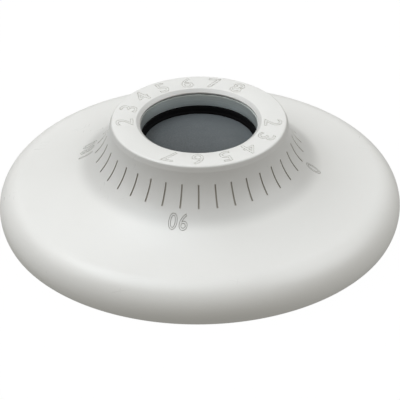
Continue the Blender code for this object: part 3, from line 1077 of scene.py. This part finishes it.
    def engraving(self, figures: Sequence[Figure], lay: Callable[[Figure, Vector], Vector],
                  finish: str) -> bpy.types.Object:
        """Make the tool that cuts the outlines of figures.

        Args:
            figures: Figures to cut.
            lay: Puts a point of a flat figure in its place, in millimetres.
            finish: Finish of the cut.

        Returns:
            One tool body for all the figures.
        """
        whole = bmesh.new()
        for figure in figures:
            bm = self.lettering(figure)
            for vertex in bm.verts:
                vertex.co = lay(figure, vertex.co) * MM
            part = bpy.data.meshes.new("part")
            bm.to_mesh(part)
            bm.free()
            whole.from_mesh(part)
            bpy.data.meshes.remove(part)
        bmesh.ops.recalc_face_normals(whole, faces=whole.faces)
        return to_object(whole, "engraving", self.shop.finish(finish))

    def lay_on_face(self, figure: Figure, point: Vector) -> Vector:
        """Put a flat figure's point on the hub's face, its top outwards."""
        x, y = polar(figure.radius + point.y, figure.angle)
        angle = math.radians(figure.angle)
        return Vector((x + point.x * math.sin(angle), y - point.x * math.cos(angle),
                       self.height + point.z))

    def lay_on_flank(self, figure: Figure, point: Vector) -> Vector:
        """Wrap a flat figure's point round the flank, its top down the slope."""
        spot, normal = self.on_flank(figure.radius, point.y)
        radius, height = spot + normal * point.z
        angle = math.radians(figure.angle) - point.x / spot.x
        return Vector((radius * math.cos(angle), radius * math.sin(angle), height))

    def face_figures(self) -> list[Figure]:
        """List the two runs of index figures around the hub's face."""
        runs = ((7, 192.5, 20.7), (6, 5.5, 21.5))
        middle = (self.hub_radius + self.lip_radius) / 2
        figures = []
        for count, start, pitch in runs:
            for index in range(count):
                figures.append(Figure(str(index + 2), start - index * pitch, middle,
                                      self.figure_height, self.face_figure_width))
        return figures

    def bosses(self) -> bpy.types.Object:
        """Make the ribs and bosses inside the dome."""
        bm = bmesh.new()
        plate_top = self.shop.heights("retainer_plate")[1]
        for number in SCREWS:
            add_drum(bm, 3.0, plate_top + GAP, 9.6, self.shop.middle(f"retainer_screw_{number}"))
        for number in PAWLS:
            low, high = self.shop.heights(f"pawl_{number}")
            add_drum(bm, 2.6, high + GAP, 15.2, self.shop.middle(f"pawl_pin_{number}"))
            post = turned_plan([(27.2, -0.6)], (number - 1) * 180)[0]
            add_drum(bm, 1.9, low, 13.4, post)
        rib = [(17.4, 14.2), (25.8, 14.2), (22.7, 19.0), (20.8, 23.9), (17.4, 23.9)]
        for index in range(8):
            corners = add_prism(bm, rib, -0.6, 0.6)
            upright = Matrix.Rotation(math.radians(90), 4, "X")
            turn = Matrix.Rotation(math.tau * index / 8, 4, "Z")
            bmesh.ops.transform(bm, matrix=turn @ upright, verts=corners)
        bmesh.ops.recalc_face_normals(bm, faces=bm.faces)
        return to_object(bm, "bosses", self.shop.finish("white_moulding"))

    def holes(self) -> bpy.types.Object:
        """Make the screw holes, pin holes and spring slots of the bosses."""
        bm = bmesh.new()
        plate_top = self.shop.heights("retainer_plate")[1]
        for number in SCREWS:
            add_drum(bm, 1.7, plate_top, 9.2, self.shop.middle(f"retainer_screw_{number}"))
        for number in PAWLS:
            low, high = self.shop.heights(f"pawl_{number}")
            add_drum(bm, 1.5, high, 14.2, self.shop.middle(f"pawl_pin_{number}"))
            line = [(25.6, 3.6), (26.7, 0.6), (27.6, -2.0)]
            slot = [(x - 0.5, y) for x, y in line] + [(x + 0.5, y) for x, y in line[::-1]]
            add_prism(bm, turned_plan(slot, (number - 1) * 180), low - GAP, high + GAP)
        bmesh.ops.recalc_face_normals(bm, faces=bm.faces)
        return to_object(bm, "holes", self.shop.finish("white_moulding"))

    def build(self) -> None:
        """Make the escutcheon and put it in place."""
        shell = self.blank()
        scale = [Figure(text, angle, self.scale_figure_radius, self.figure_height,
                        self.scale_figure_width)
                 for text, angle in self.scale_figures.items()]
        figures = self.engraving(self.face_figures(), self.lay_on_face, "engraving")
        flank = self.engraving(scale, self.lay_on_flank, "scale_engraving")
        carve(figures, [(flank, Cut.ADD)], crossing=True)
        carve(shell, [(self.bosses(), Cut.ADD), (self.holes(), Cut.REMOVE), (figures, Cut.REMOVE)])
        self.shop.install(shell, "escutcheon_shell")


# ---------------------------------------------------------------------------------------------
# Bore: liner, seal and heat plate
# ---------------------------------------------------------------------------------------------
@dataclass
class Bore:
    """Metal liner and rubber seal around the heat plate."""

    shop: Workshop
    liner_in: float = 14.4
    liner_out: float = 15.9
    counterbore: float = 15.2
    seal_in: float = 14.2
    seal_lip: float = 13.98

    def liner(self) -> None:
        """Make the grey metal liner with a flange at its foot."""
        low, high = self.shop.heights("liner_sleeve")
        shoulder = self.shop.heights("seal_ring")[1] + 0.15
        flange = self.shop.radius("liner_sleeve")
        outline = [(self.liner_in, high), (self.liner_out, high), (self.liner_out, low + 1.3),
                   (flange, low + 1.3), (flange, low), (self.counterbore, low),
                   (self.counterbore, shoulder), (self.liner_in, shoulder)]
        self.shop.turn("liner_sleeve", outline, 160, 0.18)

    def seal(self) -> None:
        """Make the black rubber ring with a soft lip close to the heat plate."""
        low, high = self.shop.heights("seal_ring")
        outer = self.shop.radius("seal_ring")
        outline = [(outer, high), (self.seal_in, high), (self.seal_in, low + 0.6),
                   (self.seal_lip, low + 0.3), (self.seal_lip, low), (outer, low)]
        self.shop.turn("seal_ring", outline, 144, 0.2)

    def build(self) -> None:
        """Make the pieces of the bore."""
        self.liner()
        self.seal()


# ---------------------------------------------------------------------------------------------
# What heat releases: trigger, valve and deflector
# ---------------------------------------------------------------------------------------------
@dataclass
class Release:
    """Heat plate with its stem, the valve, and the deflector with its rods."""

    shop: Workshop
    deflector_in: float = 3.2
    slots: int = 12
    slot_root: float = 8.0
    plate_rise: float = 0.35
    plate_reach: float = 0.1

    def heat_plate(self) -> None:
        """Make the flat heat plate with a rounded edge and a shallow rolled bead inside it."""
        low, high = self.shop.heights("heat_plate")
        high += self.plate_rise
        outer = self.shop.radius("heat_plate") + self.plate_reach
        outline = [(0.0, low), (1.2, low), (1.4, low + 0.12), (2.4, low + 0.12), (2.6, low),
                   (outer, low), (outer, high), (0.0, high)]
        self.shop.turn("heat_plate", outline, 144, 0.3, closed=False)

    def stem(self) -> None:
        """Make the fibre washer and the brass stem under the heat plate."""
        low, high = self.shop.heights("insulating_washer")
        outer = self.shop.radius("insulating_washer")
        self.shop.turn("insulating_washer", [(1.6, low), (1.6, high), (outer, high), (outer, low)])
        foot, tip = self.shop.heights("plunger_stem")
        collar = low - GAP
        outline = [(0.0, foot), (1.1, foot), (1.5, foot + 0.4), (1.5, collar - 0.6),
                   (2.6, collar - 0.6), (2.6, collar), (1.2, collar), (1.2, tip), (0.0, tip)]
        self.shop.turn("plunger_stem", outline, 48, 0.12, closed=False)

    def valve(self) -> None:
        """Make the valve cap, its cone spring and the strut that loads it."""
        low, high = self.shop.heights("valve_cap")
        outer = self.shop.radius("valve_cap")
        outline = [(0.0, low), (2.6, low), (2.6, low + 1.7), (outer, low + 1.7),
                   (outer, high - 0.2), (2.2, high - 0.2), (1.6, high), (0.0, high)]
        self.shop.turn("valve_cap", outline, 80, 0.15, closed=False)
        low, high = self.shop.heights("valve_disc_spring")
        outline = [(2.9, high - 0.35), (2.9, high), (5.8, low + 0.35), (5.8, low)]
        self.shop.turn("valve_disc_spring", outline, 80, 0.08)
        low, high = self.shop.heights("valve_strut")
        self.shop.turn("valve_strut", [(0.0, low), (0.9, low), (0.9, high), (0.0, high)], 32, 0.2,
                       closed=False)

    def deflector(self) -> None:
        """Make the deflector with round-ended slots between its tines, and its rods."""
        low, high = self.shop.heights("deflector")
        outer = self.shop.radius("deflector")
        plate = [(self.deflector_in, low), (self.deflector_in, high), (outer, high), (outer, low)]
        piece = self.shop.turn("deflector", plate, 144, 0.2)
        bm = bmesh.new()
        pitch = 360 / self.slots
        for index in range(self.slots):
            angle = pitch * (index + 0.5)
            root = arc((self.slot_root + 0.7, 0.0), 0.7, 90, 270, 8)
            plan = [(outer + 2, -0.95), (outer + 2, 0.95)] + root
            add_prism(bm, turned_plan(plan, angle), low - 1, high + 1)
        for angle in ROD_ANGLES:
            add_drum(bm, 1.1, low - 1, high + 1, polar(ROD_CIRCLE, angle))
        self.shop.sink(piece, bm, "bronze")
        for number in range(1, len(ROD_ANGLES) + 1):
            self.rod(f"guide_rod_{number}", high + GAP)

    def rod(self, node: str, seat: float) -> None:
        """Make one guide rod with its stop head and its riveted end.

        Args:
            node: The rod's CAD node.
            seat: Height of the underside of the riveted end.
        """
        low, high = self.shop.heights(node)
        outline = [(0.0, low), (1.2, low), (1.2, low + 1.0), (0.8, low + 1.0), (0.8, seat),
                   (1.3, seat), (1.15, high - 0.12), (0.7, high), (0.0, high)]
        self.shop.turn(node, outline, 32, 0.12, closed=False)

    def build(self) -> None:
        """Make every piece that moves when the head opens."""
        self.heat_plate()
        self.stem()
        self.valve()
        self.deflector()


# ---------------------------------------------------------------------------------------------
# Waterway and frame
# ---------------------------------------------------------------------------------------------
@dataclass
class Waterway:
    """Cup, inlet nipple, bridge and load screw: the pressed and turned frame of the core."""

    shop: Workshop
    cup_in: float = 14.0
    groove: float = 14.45
    guide_in: float = 7.0
    nipple: float = 10.3
    orifice: float = 5.0

    def cup(self) -> None:
        """Make the cup with its guide flange and snap groove, and paint its top edge black as
        painted shade for the dark gap under the seal.
        """
        low, high = self.shop.heights("frame_cup")
        outer = self.shop.radius("frame_cup")
        ring_low, ring_high = self.shop.heights("snap_ring")
        guide = self.shop.heights("deflector")[0] - 1.3
        outline = [(self.cup_in, low), (outer, low), (outer, ring_low - GAP),
                   (self.groove, ring_low - GAP), (self.groove, ring_high + GAP),
                   (outer, ring_high + GAP), (outer, high), (self.cup_in, high),
                   (self.cup_in, guide), (self.guide_in, guide), (self.guide_in, guide - 1.2),
                   (self.cup_in, guide - 1.2)]
        piece = self.shop.turn("frame_cup", outline, 120, 0.12)
        # Painted shade: the faces in the top 1.6 mm take the black finish, so the gap under the
        # seal reads dark.
        piece.data.materials.append(self.shop.finish("black_rubber"))
        for face in piece.data.polygons:
            face.material_index = int(face.center.z > (high - 1.6) * MM)
        bm = bmesh.new()
        for angle in ROD_ANGLES:
            add_drum(bm, 1.1, guide - 2, guide + 1, polar(ROD_CIRCLE, angle))
        self.shop.sink(piece, bm, "bronze")

    def inlet(self) -> None:
        """Make the nipple with its pipe thread and the notches that the rods pass through."""
        low, high = self.shop.heights("inlet_body")
        outer = self.shop.radius("inlet_body")
        flange = high - 2.7
        thread = Thread(self.nipple, low + 0.9, flange, 1.81, 0.75)
        outline = [(7.4, low), (self.nipple - 0.7, low)] + thread.rows()
        outline += [(outer, flange), (outer, high - 0.7), (6.4, high - 0.7), (6.2, high),
                    (self.orifice, high), (self.orifice, low + 3.5)]
        piece = self.shop.turn("inlet_body", outline, 120, 0.12, thread=thread)
        bm = bmesh.new()
        for angle in ROD_ANGLES:
            add_drum(bm, 1.7, flange - 1, high + 0.3, polar(ROD_CIRCLE + 0.4, angle))
        self.shop.sink(piece, bm, "brass")

    def bridge(self) -> None:
        """Make the three-legged bridge and the slotted load screw in its crown."""
        low, high = self.shop.heights("bridge")
        crown = high - 1.0
        outline = [(9.8, low), (9.8, low + 1.8), (6.7, low + 4.8), (6.7, high), (3.7, high),
                   (3.7, crown), (6.2, crown), (6.2, low + 4.6), (8.5, low + 2.4), (8.5, low)]
        piece = self.shop.turn("bridge", outline, 96, 0.2)
        bm = bmesh.new()
        for index in range(3):
            plan = [(5.0, -4.2), (11.0, -4.2), (11.0, 4.2), (5.0, 4.2)]
            add_prism(bm, turned_plan(plan, index * 120), low + 1.1, low + 4.7)
        self.shop.sink(piece, bm, "bronze")
        low, high = self.shop.heights("compression_screw")
        thread = Thread(3.4, low + 0.1, high - 0.1, 0.5, 0.2)
        screw = self.shop.turn("compression_screw", [(2.3, low)] + thread.rows() + [(2.3, high)],
                               48, 0.08, thread=thread)
        bm = bmesh.new()
        add_prism(bm, [(-4, -0.4), (4, -0.4), (4, 0.4), (-4, 0.4)], high - 0.5, high + 1)
        self.shop.sink(screw, bm, "brass")
        low, high = self.shop.heights("solder_sleeve")
        self.shop.turn("solder_sleeve", [(1.2, low), (1.2, high), (2.0, high), (2.0, low)], 48)

    def build(self) -> None:
        """Make the frame's pieces."""
        self.cup()
        self.inlet()
        self.bridge()


# ---------------------------------------------------------------------------------------------
# Ratchet
# ---------------------------------------------------------------------------------------------
@dataclass
class Ratchet:
    """Toothed ring, its washers and the two sprung pawls."""

    shop: Workshop
    teeth: int = 72
    tooth_depth: float = 0.9
    pin_circle: float = 23.5
    pin_lead: float = 22.0
    pawl_round: float = 2.4

    def ring(self) -> None:
        """Make the toothed nylon ring."""
        low, high = self.shop.heights("ratchet_ring")
        outer = self.shop.radius("ratchet_ring")
        bore = self.shop.radius("frame_cup") + GAP
        plan = []
        for tooth in range(self.teeth):
            angle = tooth * 360 / self.teeth
            plan.append(polar(outer - self.tooth_depth, angle))
            plan += [polar(outer, angle + 2.3), polar(outer, angle + 2.7)]
        bm = bmesh.new()
        add_prism(bm, plan, low, high)
        soften(bm, 0.12, 60, 1)
        bmesh.ops.recalc_face_normals(bm, faces=bm.faces)
        piece = self.shop.fit(bm, "ratchet_ring", 30)
        bm = lathe([(0, low - 1), (bore + 0.3, low - 1), (bore + 0.3, low), (bore, low + 0.3),
                    (bore, high - 0.3), (bore + 0.3, high), (bore + 0.3, high + 1), (0, high + 1)],
                   full_turn(120), closed=False)
        self.shop.sink(piece, bm, "grey_nylon", sharp=30)

    def washers(self) -> None:
        """Make the three-wave washer and the open snap ring with its eyes."""
        low, high = self.shop.heights("wave_washer")
        outer = self.shop.radius("wave_washer")
        middle = (low + high) / 2
        section = [(17.4, middle - 0.25), (17.4, middle + 0.25), (outer, middle + 0.25),
                   (outer, middle - 0.25)]
        bm = lathe(eased(section, 0.1), full_turn(144))
        for vertex in bm.verts:
            wave = math.cos(3 * math.atan2(vertex.co.y, vertex.co.x))
            vertex.co.z += (high - low - 0.5) / 2 * wave * MM
        self.shop.fit(bm, "wave_washer")
        low, high = self.shop.heights("snap_ring")
        inner = self.shop.radius("frame_cup") - 0.15
        outer = self.shop.radius("snap_ring")
        section = [(inner, low), (inner, high), (outer, high), (outer, low)]
        snap = self.shop.turn("snap_ring", section, 120, 0.1)
        bm = bmesh.new()
        add_prism(bm, [(10, -1.2), (20, -1.2), (20, 1.2), (10, 1.2)], low - 1, high + 1)
        for angle in (7.0, -7.0):
            add_drum(bm, 0.4, low - 1, high + 1, polar((inner + outer) / 2, angle))
        self.shop.sink(snap, bm, "spring_steel")

    def pawl_plan(self) -> list[Point]:
        """Draw the pawl whose tip meets the ring at angle 0."""
        outer = self.shop.radius("ratchet_ring")
        shoulder = outer + 0.35
        plan = [(outer - self.tooth_depth + GAP, 0.0), (shoulder, 0.88), (shoulder + 0.1, 7.9)]
        plan += arc(polar(self.pin_circle, self.pin_lead), self.pawl_round, 180, 0, 20)
        return plan + [(21.9, 1.4), (20.9, -1.0), (shoulder, -0.88)]

    def spring_plan(self) -> list[Point]:
        """Draw the leaf spring behind the pawl at angle 0, bent in a smooth curve."""
        line = [(24.9, 9.3), (24.9, 7.0), (25.6, 3.6), (26.7, 0.6), (27.6, -1.6)]
        return [(x - 0.175, y) for x, y in line] + [(x + 0.175, y) for x, y in line[::-1]]

    def pawl(self, number: int) -> None:
        """Make a pawl, its pin and its spring.

        Args:
            number: Which of the two.
        """
        turn = (number - 1) * 180
        low, high = self.shop.heights(f"pawl_{number}")
        bm = bmesh.new()
        add_prism(bm, turned_plan(self.pawl_plan(), turn), low, high)
        soften(bm, 0.15)
        bmesh.ops.recalc_face_normals(bm, faces=bm.faces)
        piece = self.shop.fit(bm, f"pawl_{number}", 30)
        bm = bmesh.new()
        add_drum(bm, 1.5, low - 1, high + 1, polar(self.pin_circle, self.pin_lead + turn))
        self.shop.sink(piece, bm, "brass", sharp=30)
        low, high = self.shop.heights(f"pawl_pin_{number}")
        pin = [(0, low), (1.2, low), (1.2, high), (0, high)]
        self.shop.turn(f"pawl_pin_{number}", pin, 40, 0.25, closed=False)
        low, high = self.shop.heights(f"pawl_spring_{number}")
        bm = bmesh.new()
        add_prism(bm, turned_plan(self.spring_plan(), turn), low, high)
        bmesh.ops.recalc_face_normals(bm, faces=bm.faces)
        soften(bm, 0.06)
        self.shop.fit(bm, f"pawl_spring_{number}", 50)

    def build(self) -> None:
        """Make the ratchet's pieces."""
        self.ring()
        self.washers()
        for number in PAWLS:
            self.pawl(number)


# ---------------------------------------------------------------------------------------------
# Back
# ---------------------------------------------------------------------------------------------
@dataclass
class Back:
    """Retainer plate with its screws and the foam gasket."""

    shop: Workshop
    plate_in: float = 17.2
    hole: float = 1.7
    pin_hole: float = 1.5

    def plate(self) -> None:
        """Make the steel plate with a rolled edge, screw holes, pin holes and stiffening beads."""
        low, high = self.shop.heights("retainer_plate")
        outer = self.shop.radius("retainer_plate")
        outline = [(self.plate_in, low), (self.plate_in, high), (outer, high), (outer, low)]
        for radius in (31.5, 28.5):
            outline += [(radius + 0.8, low), (radius + 0.5, low + 0.35), (radius - 0.5, low + 0.35),
                        (radius - 0.8, low)]
        piece = self.shop.turn("retainer_plate", outline, 160, 0.25)
        bm = bmesh.new()
        for number in SCREWS:
            add_drum(bm, self.hole, low - 1, high + 1, self.shop.middle(f"retainer_screw_{number}"))
        for number in PAWLS:
            add_drum(bm, self.pin_hole, low - 1, high + 1, self.shop.middle(f"pawl_pin_{number}"))
        self.shop.sink(piece, bm, "zinc_plated")

    def screw(self, number: int) -> None:
        """Make a countersunk screw with a cross recess and a thread.

        Args:
            number: Which of the four.
        """
        node = f"retainer_screw_{number}"
        low, high = self.shop.heights(node)
        head = low + 1.6
        thread = Thread(1.4, head + 0.3, high - 0.4, 0.5, 0.22)
        outline = [(0.0, low), (1.8, low), (2.8, low + 0.7), (2.8, head), (1.4, head)]
        outline += thread.rows() + [(1.0, high), (0.0, high)]
        piece = self.shop.turn(node, outline, 40, 0.15, closed=False, thread=thread)
        bm = bmesh.new()
        for turn in (20, 110):
            wing = [(-1.3, -0.25), (1.3, -0.25), (1.3, 0.25), (-1.3, 0.25)]
            corners = add_prism(bm, turned_plan(wing, turn), low - 1, low + 0.9)
            spot = self.shop.middle(node)
            bmesh.ops.translate(bm, verts=corners, vec=(spot[0] * MM, spot[1] * MM, 0))
        self.shop.sink(piece, bm, "zinc_plated", crossing=True)

    def gasket(self) -> None:
        """Make the soft foam ring with a rounded foot."""
        low, high = self.shop.heights("ceiling_gasket")
        outline = [(39.6, low), (39.6, high), (45.6, high), (46.1, low + 2.2), (45.6, low)]
        self.shop.turn("ceiling_gasket", outline, 144, 0.7)

    def build(self) -> None:
        """Make the pieces of the back."""
        self.plate()
        for number in SCREWS:
            self.screw(number)
        self.gasket()


# ---------------------------------------------------------------------------------------------
# Studio
# ---------------------------------------------------------------------------------------------
@dataclass(frozen=True)
class Softbox:
    """A round lamp: where it hangs as seen from the camera, and how strong it is.

    A bearing of 0 is the camera's right and 90 is behind the head. Strength is the share of full
    white that it alone gives to a white surface that faces it. Sizes are in metres.
    """

    name: str
    bearing: float
    elevation: float
    strength: float
    tint: Colour = (1.0, 1.0, 1.0)
    distance: float = 0.8
    width: float = 0.66


@dataclass
class Studio:
    """Pale floor, soft light and the camera."""

    radius: float
    distance_in_radii: float = 13.0
    elevation: float = 32.8
    azimuth: float = -79.4
    focal_length: float = 232.9
    aim_up: float = 2.53
    aim_right: float = 0.02
    roll: float = -0.64
    floor_size: float = 3.0
    floor_drop: float = 0.00002
    floor_glow: float = 0.97
    white: float = 1.02
    ambient: Colour = (0.44, 0.41, 0.365)
    floor_bounce: Colour = (0.375, 0.375, 0.35)
    softboxes: tuple[Softbox, ...] = (
        Softbox("top_softbox", 180.0, 70.0, 0.345, (0.92, 1.0, 1.05)),
        Softbox("left_softbox", 180.0, 45.0, 0.22),
        Softbox("right_softbox", 0.0, 45.0, 0.29, (0.97, 1.0, 1.02)),
        Softbox("back_left_softbox", 135.0, 45.0, 0.14),
    )

    def floor(self) -> None:
        """Lay a pale floor that looks white and is open from below.

        Only the camera sees it: the light that it throws back is the room's floor bounce.
        """
        bm = bmesh.new()
        bmesh.ops.create_grid(bm, x_segments=1, y_segments=1, size=self.floor_size,
                              matrix=Matrix.Translation((0, 0, -self.floor_drop)))
        material = bpy.data.materials.new("floor")
        material.use_nodes = True
        tree = Tree(material.node_tree)
        shader = material.node_tree.nodes["Principled BSDF"]
        shader.inputs["Base Color"].default_value = (0.42, 0.42, 0.41, 1.0)
        shader.inputs["Roughness"].default_value = 0.9
        shader.inputs["Specular IOR Level"].default_value = 0.0
        glow = tree.node("ShaderNodeEmission")
        glow.inputs["Color"].default_value = (1.0, 1.0, 1.0, 1.0)
        glow.inputs["Strength"].default_value = self.white
        mix = tree.node("ShaderNodeMixShader")
        seen = tree.node("ShaderNodeLightPath").outputs["Is Camera Ray"]
        tree.feed(mix.inputs["Fac"], tree.maths("MULTIPLY", seen, self.floor_glow))
        tree.feed(mix.inputs[1], shader.outputs[0])
        tree.feed(mix.inputs[2], glow.outputs[0])
        open_below = tree.node("ShaderNodeMixShader")
        from_below = tree.node("ShaderNodeNewGeometry").outputs["Backfacing"]
        tree.feed(open_below.inputs["Fac"], from_below)
        tree.feed(open_below.inputs[1], mix.outputs[0])
        tree.feed(open_below.inputs[2], tree.node("ShaderNodeBsdfTransparent").outputs[0])
        surface = material.node_tree.nodes["Material Output"].inputs["Surface"]
        tree.feed(surface, open_below.outputs[0])
        floor = to_object(bm, "floor", material)
        floor.visible_diffuse = floor.visible_glossy = floor.visible_shadow = False

    def softbox(self, box: "Softbox") -> None:
        """Hang a softbox so that it faces the head.

        Args:
            box: The softbox.
        """
        side = math.radians(box.bearing + self.azimuth + 90)
        rise = math.radians(box.elevation)
        towards = Vector((math.cos(side) * math.cos(rise), math.sin(side) * math.cos(rise),
                          math.sin(rise)))
        lamp = bpy.data.lights.new(box.name, "AREA")
        lamp.shape = "DISK"
        lamp.size = box.width
        reach = math.hypot(box.width / 2, box.distance)
        lamp.energy = (math.pi * reach) ** 2 * box.strength
        lamp.color = box.tint
        holder = bpy.data.objects.new(box.name, lamp)
        holder.location = towards * box.distance
        holder.rotation_euler = towards.to_track_quat("Z", "Y").to_euler()
        bpy.context.scene.collection.objects.link(holder)

    def surroundings(self) -> None:
        """Fill the room with even light, white behind the head and bounced from the floor."""
        world = bpy.data.worlds.new("room")
        bpy.context.scene.world = world
        world.use_nodes = True
        tree = Tree(world.node_tree)
        shade = world.node_tree.nodes["Background"]
        seen = tree.node("ShaderNodeLightPath").outputs["Is Camera Ray"]
        split = tree.node("ShaderNodeSeparateXYZ")
        tree.feed(split.inputs[0], tree.node("ShaderNodeTexCoord").outputs["Generated"])
        height = tree.span(split.outputs["Z"], -0.05, 0.05)
        room = tree.blend(height, rgba(self.floor_bounce), rgba(self.ambient))
        backdrop = (self.white, self.white, self.white, 1.0)
        tree.feed(shade.inputs["Color"], tree.blend(seen, room, backdrop))

    def camera(self) -> None:
        """Set the camera on the scale's 80 degree mark, looking down at the head."""
        azimuth, elevation = math.radians(self.azimuth), math.radians(self.elevation)
        back = Vector((math.cos(azimuth) * math.cos(elevation),
                       math.sin(azimuth) * math.cos(elevation), math.sin(elevation)))
        turn = (-back).to_track_quat("-Z", "Y")
        turn = turn @ Quaternion((0.0, 0.0, 1.0), math.radians(self.roll))
        aim = turn @ Vector((self.aim_right * MM, self.aim_up * MM, 0.0))
        lens = bpy.data.cameras.new("camera")
        lens.lens = self.focal_length
        lens.clip_start = 0.01
        holder = bpy.data.objects.new("camera", lens)
        holder.location = aim + back * self.distance_in_radii * self.radius * MM
        holder.rotation_euler = turn.to_euler()
        bpy.context.scene.collection.objects.link(holder)
        bpy.context.scene.camera = holder

    def build(self) -> None:
        """Set up the floor, the lights and the camera."""
        self.floor()
        self.surroundings()
        for box in self.softboxes:
            self.softbox(box)
        self.camera()
        bpy.context.scene.view_settings.view_transform = "Standard"


def main() -> None:
    """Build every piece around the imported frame, then the studio."""
    logging.basicConfig(level=logging.INFO, format="%(name)s %(message)s")
    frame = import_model()
    shop = Workshop(frame)
    escutcheon = Escutcheon(shop)
    for assembly in (escutcheon, Bore(shop), Release(shop), Waterway(shop), Ratchet(shop),
                     Back(shop)):
        assembly.build()
    for node, slot in shop.slots.items():
        shop.dress(node, slot)
    Studio(escutcheon.radius).build()


if __name__ == "__main__":
    main()
